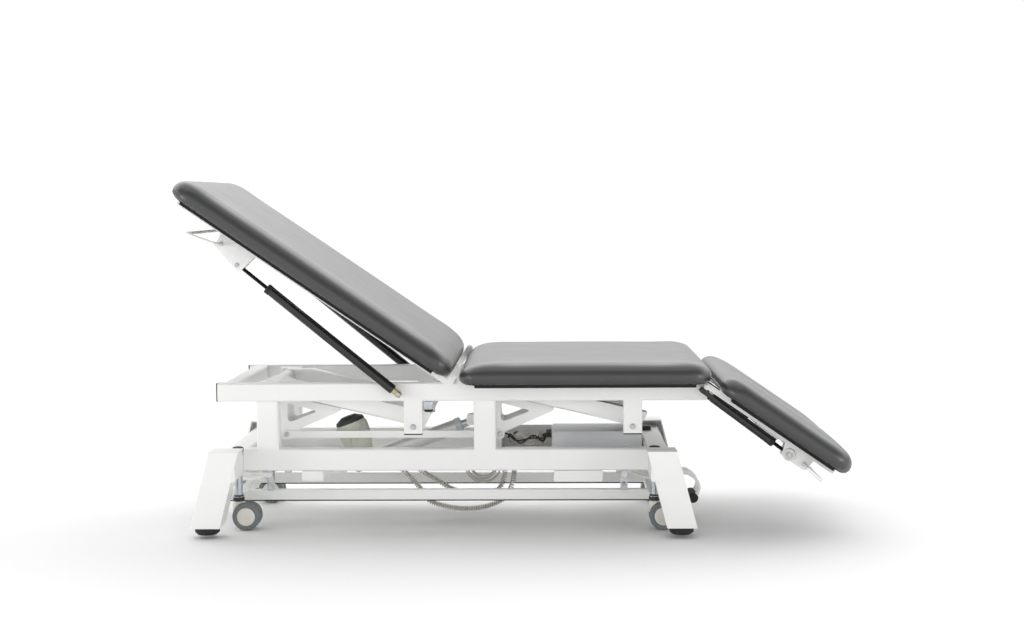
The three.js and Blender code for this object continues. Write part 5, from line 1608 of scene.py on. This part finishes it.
@dataclass
class Fittings:
    """Pedal treads, rubber stops, spring bracket bosses and the plugs of the control unit."""

    tread_radius: float = 14.3 * MM
    tread_half: float = 46 * MM
    tread_reach: float = 198 * MM
    tread_drop: float = 91 * MM
    tread_rings: int = 12
    tread_end: float = 3.5 * MM
    ring_half: float = 1.2 * MM
    ring_depth: float = 0.7 * MM
    stop_at: float = -228 * MM
    stop_half: float = 11 * MM
    stop_bottom: float = 325 * MM
    rail_bottom: float = 354.5 * MM
    rail_middle: float = 233.5 * MM
    boss_radius: float = 17 * MM
    boss_height: float = 4 * MM
    side_face: float = 281 * MM
    plug_radius: float = 6.5 * MM
    plug_length: float = 16 * MM
    plugs: int = 4
    plug_spacing: float = 22 * MM
    plug_first: float = 30 * MM
    plug_below_top: float = 14 * MM
    plug_clear: float = 3.2 * MM

    def tread(self, end: str, sense: int) -> bpy.types.Object:
        """Makes the rubber tread of a pedal, with rings round it for grip.

        Args:
            end: left or right.
            sense: the way out at that end.

        Returns:
            The tread.
        """
        place = joint_place(f"pedal_{end}_turn") + Vector((sense * self.tread_reach, 0, -self.tread_drop))
        r, h = self.tread_radius, self.tread_half
        plain = self.tread_end
        profile = [(r - 2.5 * MM, -h), (r - 0.6 * MM, -h + 1.5 * MM), (r, -h + plain)]
        for i in range(1, self.tread_rings):
            y = -h + plain + (2 * h - 2 * plain) * i / self.tread_rings
            profile += [(r, y - self.ring_half), (r - self.ring_depth, y), (r, y + self.ring_half)]
        profile += [(r, h - plain), (r - 0.6 * MM, h - 1.5 * MM), (r - 2.5 * MM, h)]
        piece = turned(f"pedal_tread_{end}", profile, place, Vector((0, 1, 0)), 40)
        return fit(piece, BLACK_RUBBER, f"pedal_{end}")

    def stop(self, side: str, sign: int) -> bpy.types.Object:
        """Makes the rubber stop under an upper rail, on its zinc foot.

        Args:
            side: near or far.
            sign: the way out on that side.

        Returns:
            The stop.
        """
        y = sign * self.rail_middle
        half = self.stop_half
        foot = block("foot", Vector((self.stop_at - half, y - half, self.stop_bottom + 6 * MM)),
                     Vector((self.stop_at + half, y + half, self.rail_bottom)), 2 * MM)
        dress(foot, ZINC_PLATE)
        pad = turned("pad", [(half - 1 * MM, 0), (half + 1 * MM, 1.5 * MM), (half + 1 * MM, 6 * MM),
                             (half - 1 * MM, 7 * MM)], Vector((self.stop_at, y, self.stop_bottom)),
                     Vector((0, 0, 1)), 32)
        dress(pad, BLACK_RUBBER)
        piece = joined(f"rail_stop_{side}", foot, pad)
        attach(piece, "upper_frame")
        return piece

    def boss(self, part: str, side: str, sign: int) -> bpy.types.Object:
        """Makes the raised cover round the upper pin of a gas spring.

        Args:
            part: the section that it belongs to.
            side: near or far.
            sign: the way out on that side.

        Returns:
            The cover.
        """
        foot = joint_place(f"{part}_spring_swing_{side}")
        place = foot + joint_axis(f"{part}_spring_extend_{side}") * GasSprings.spans[part]
        place.y = sign * self.side_face
        r, h = self.boss_radius, self.boss_height
        piece = turned(f"{part}_bracket_boss_{side}", [
            (11.5 * MM, 0), (r, 0), (r, h * 0.5), (r - 1.5 * MM, h), (12 * MM, h), (11.5 * MM, h * 0.8),
        ], place, Vector((0, sign, 0)), 48, bored=True)
        return fit(piece, HUB_NYLON, f"{part}_section")

    def plug_row(self) -> list[bpy.types.Object]:
        """Makes the row of round plugs that enter the control box from the tray.

        Returns:
            The plugs.
        """
        low, high = (Vector(c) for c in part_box("control_box"))
        r, length = self.plug_radius, self.plug_length
        made = []
        height = high.z - self.plug_below_top
        for i in range(self.plugs):
            y = low.y + self.plug_first + i * self.plug_spacing
            piece = turned(f"control_plug_{i + 1}", [
                (r * 0.6, -length), (r * 0.8, -length + 2 * MM), (r, -length + 6 * MM), (r, -4 * MM),
                (r * 1.25, -3.4 * MM), (r * 1.25, -0.4 * MM),
            ], Vector((low.x - self.plug_clear, y, height)), Vector((1, 0, 0)), 24)
            made.append(fit(piece, BLACK_PVC, "base"))
        return made

    def build(self) -> list[bpy.types.Object]:
        """Makes every small fitting.

        Returns:
            The fittings.
        """
        made = [self.tread(end, sense) for end, sense in ENDS.items()]
        for side, sign in SIDES.items():
            made.append(self.stop(side, sign))
            made.append(self.boss("head", side, sign))
        return made + self.plug_row()


# Leads


@dataclass
class Leads:
    """Thin leads: from the motor to the tray, the loops laid in the tray, and the earth leads."""

    motor_wire: float = 2.6 * MM
    tray_wire: float = 2.3 * MM
    earth_wire: float = 1.3 * MM
    points: int = 160
    motor_exit: tuple = (85, 29, 30)
    motor_turn: tuple = (4, 12, 0)
    motor_bend: tuple = (30, 30, 158)
    motor_under: tuple = ((-280, 20, 150), (-180, 42, 158), (-100, 50, 190))
    motor_entry: tuple = (50, 20)
    motor_lead_in: tuple = (16, 0, -1)
    tray_wall: float = 3.4 * MM
    tray_floor: float = 3 * MM
    tray_rows: tuple = (
        (46, 0, 1.0, CORD_PVC), (52, 10, 0.8, HUB_NYLON), (57, -8, 1.1, BLACK_PVC), (60, 4, 0.9, HUB_NYLON),
    )
    loop_shift: float = 12 * MM
    loop_share: float = 0.34
    loop_half: float = 34 * MM
    loop_steps: int = 14
    loop_start: float = 1.1 * math.pi
    loop_sweep: float = 3.2 * math.pi
    rise_share: float = 0.55
    wave_share: float = 0.42
    wave_rate: float = 1.7
    entry_shift: float = 20 * MM
    entry_length: float = 14 * MM
    exit_shift: float = 12 * MM
    exit_length: float = 18 * MM
    exit_share: float = 0.9
    earth_rows: tuple = ((0, 55), (-32, 48))
    earth_shape: tuple = ((1, 12, 0), (1, 12, 8), (0.7, 8, 34), (0.3, 6, 33), (0, 10, 8), (0, 10, 0))

    def lead(self, name: str, route: list[Vector], radius: float, finish: Finish) -> bpy.types.Object:
        """Args:
            name: the piece's name.
            route: the points that it passes.
            radius: of the lead.
            finish: its jacket.

        Returns:
            The lead.
        """
        points = flowing(route, self.points)
        piece = tube(name, points, radius)
        fit(piece, finish, "base")
        return piece

    def motor_route(self) -> list[Vector]:
        """Leads the motor's cable out of its housing, under the base and up into the tray.

        Returns:
            The points of the route.
        """
        low, high = (Vector(c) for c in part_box("cable_tray"))
        start = joint_place("actuator_swing") + mm(*self.motor_exit)
        x, y, z = self.motor_bend
        inside, below = self.motor_entry
        wall = Vector((low.x, low.y + inside * MM, high.z - below * MM))
        return [start, start + mm(*self.motor_turn), Vector((start.x + x * MM, start.y + y * MM, z * MM)),
                *[mm(*point) for point in self.motor_under], wall - mm(*self.motor_lead_in), wall]

    def tray_loop(self, index: int, height: float, shift: float, squeeze: float) -> list[Vector]:
        """Lays a lead in the tray in one and a half loops, from its left wall to the control box.

        Args:
            index: the lead's number, which varies its rise.
            height: of its ends over the tray's floor.
            shift: of its loops across the tray.
            squeeze: the size of its loops against the first lead's.

        Returns:
            The points of the route.
        """
        low, high = (Vector(c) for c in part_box("cable_tray"))
        left, right = low.x + self.tray_wall, high.x - self.tray_wall
        middle = (low + high) / 2
        floor = low.z + self.tray_floor + self.tray_wire
        across = middle.y - self.loop_shift + shift
        rx, ry = (right - left) * self.loop_share * squeeze, self.loop_half * squeeze
        y, z = across - self.entry_shift, floor + height
        route = [Vector((left, y, z)), Vector((left + self.entry_length, y, z))]
        for i in range(self.loop_steps + 1):
            angle = self.loop_start + self.loop_sweep * i / self.loop_steps
            wave = math.sin(i * self.wave_rate + index) ** 2
            route.append(Vector((middle.x + rx * math.cos(angle), across + ry * math.sin(angle),
                                 floor + height * (self.rise_share + self.wave_share * wave))))
        y, z = across + self.exit_shift, floor + height * self.exit_share
        return [*route, Vector((right - self.exit_length, y, z)), Vector((right, y, z))]

    def earth_route(self, shift: float, reach: float) -> list[Vector]:
        """Hangs an earth lead in a slack loop under the control box.

        Args:
            shift: of its right end from the box's right side.
            reach: the length of the loop.

        Returns:
            The points of the route.
        """
        low, high = (Vector(c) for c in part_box("control_box"))
        return [Vector((high.x + shift - reach * share, low.y + across * MM, low.z - drop * MM))
                for share, across, drop in self.earth_shape]

    def build(self) -> list[bpy.types.Object]:
        """Makes every lead.

        Returns:
            The leads.
        """
        made = [self.lead("motor_lead", self.motor_route(), self.motor_wire, BLACK_PVC)]
        for index, (height, shift, squeeze, finish) in enumerate(self.tray_rows):
            route = self.tray_loop(index, height * MM, shift * MM, squeeze)
            made.append(self.lead(f"tray_lead_{index + 1}", route, self.tray_wire, finish))
        for index, (shift, reach) in enumerate(self.earth_rows):
            route = self.earth_route(shift * MM, reach * MM)
            made.append(self.lead(f"earth_lead_{index + 1}", route, self.earth_wire, EARTH_PVC))
        return made


def main() -> None:
    """Builds every sub-assembly in order and reports its pieces."""
    logging.basicConfig(level=logging.INFO, format="%(message)s")
    Studio().build()
    made = Cords().build()
    FrameFinish().build()
    made += Upholstery().build()
    made += Castors().build()
    made += Fasteners().build()
    made += TubeCaps().build()
    made += GasSprings().build()
    made += Actuator().build()
    made += Fittings().build()
    made += Leads().build()
    for piece in made:
        log.info("%s", piece.name)


if __name__ == "__main__":
    main()
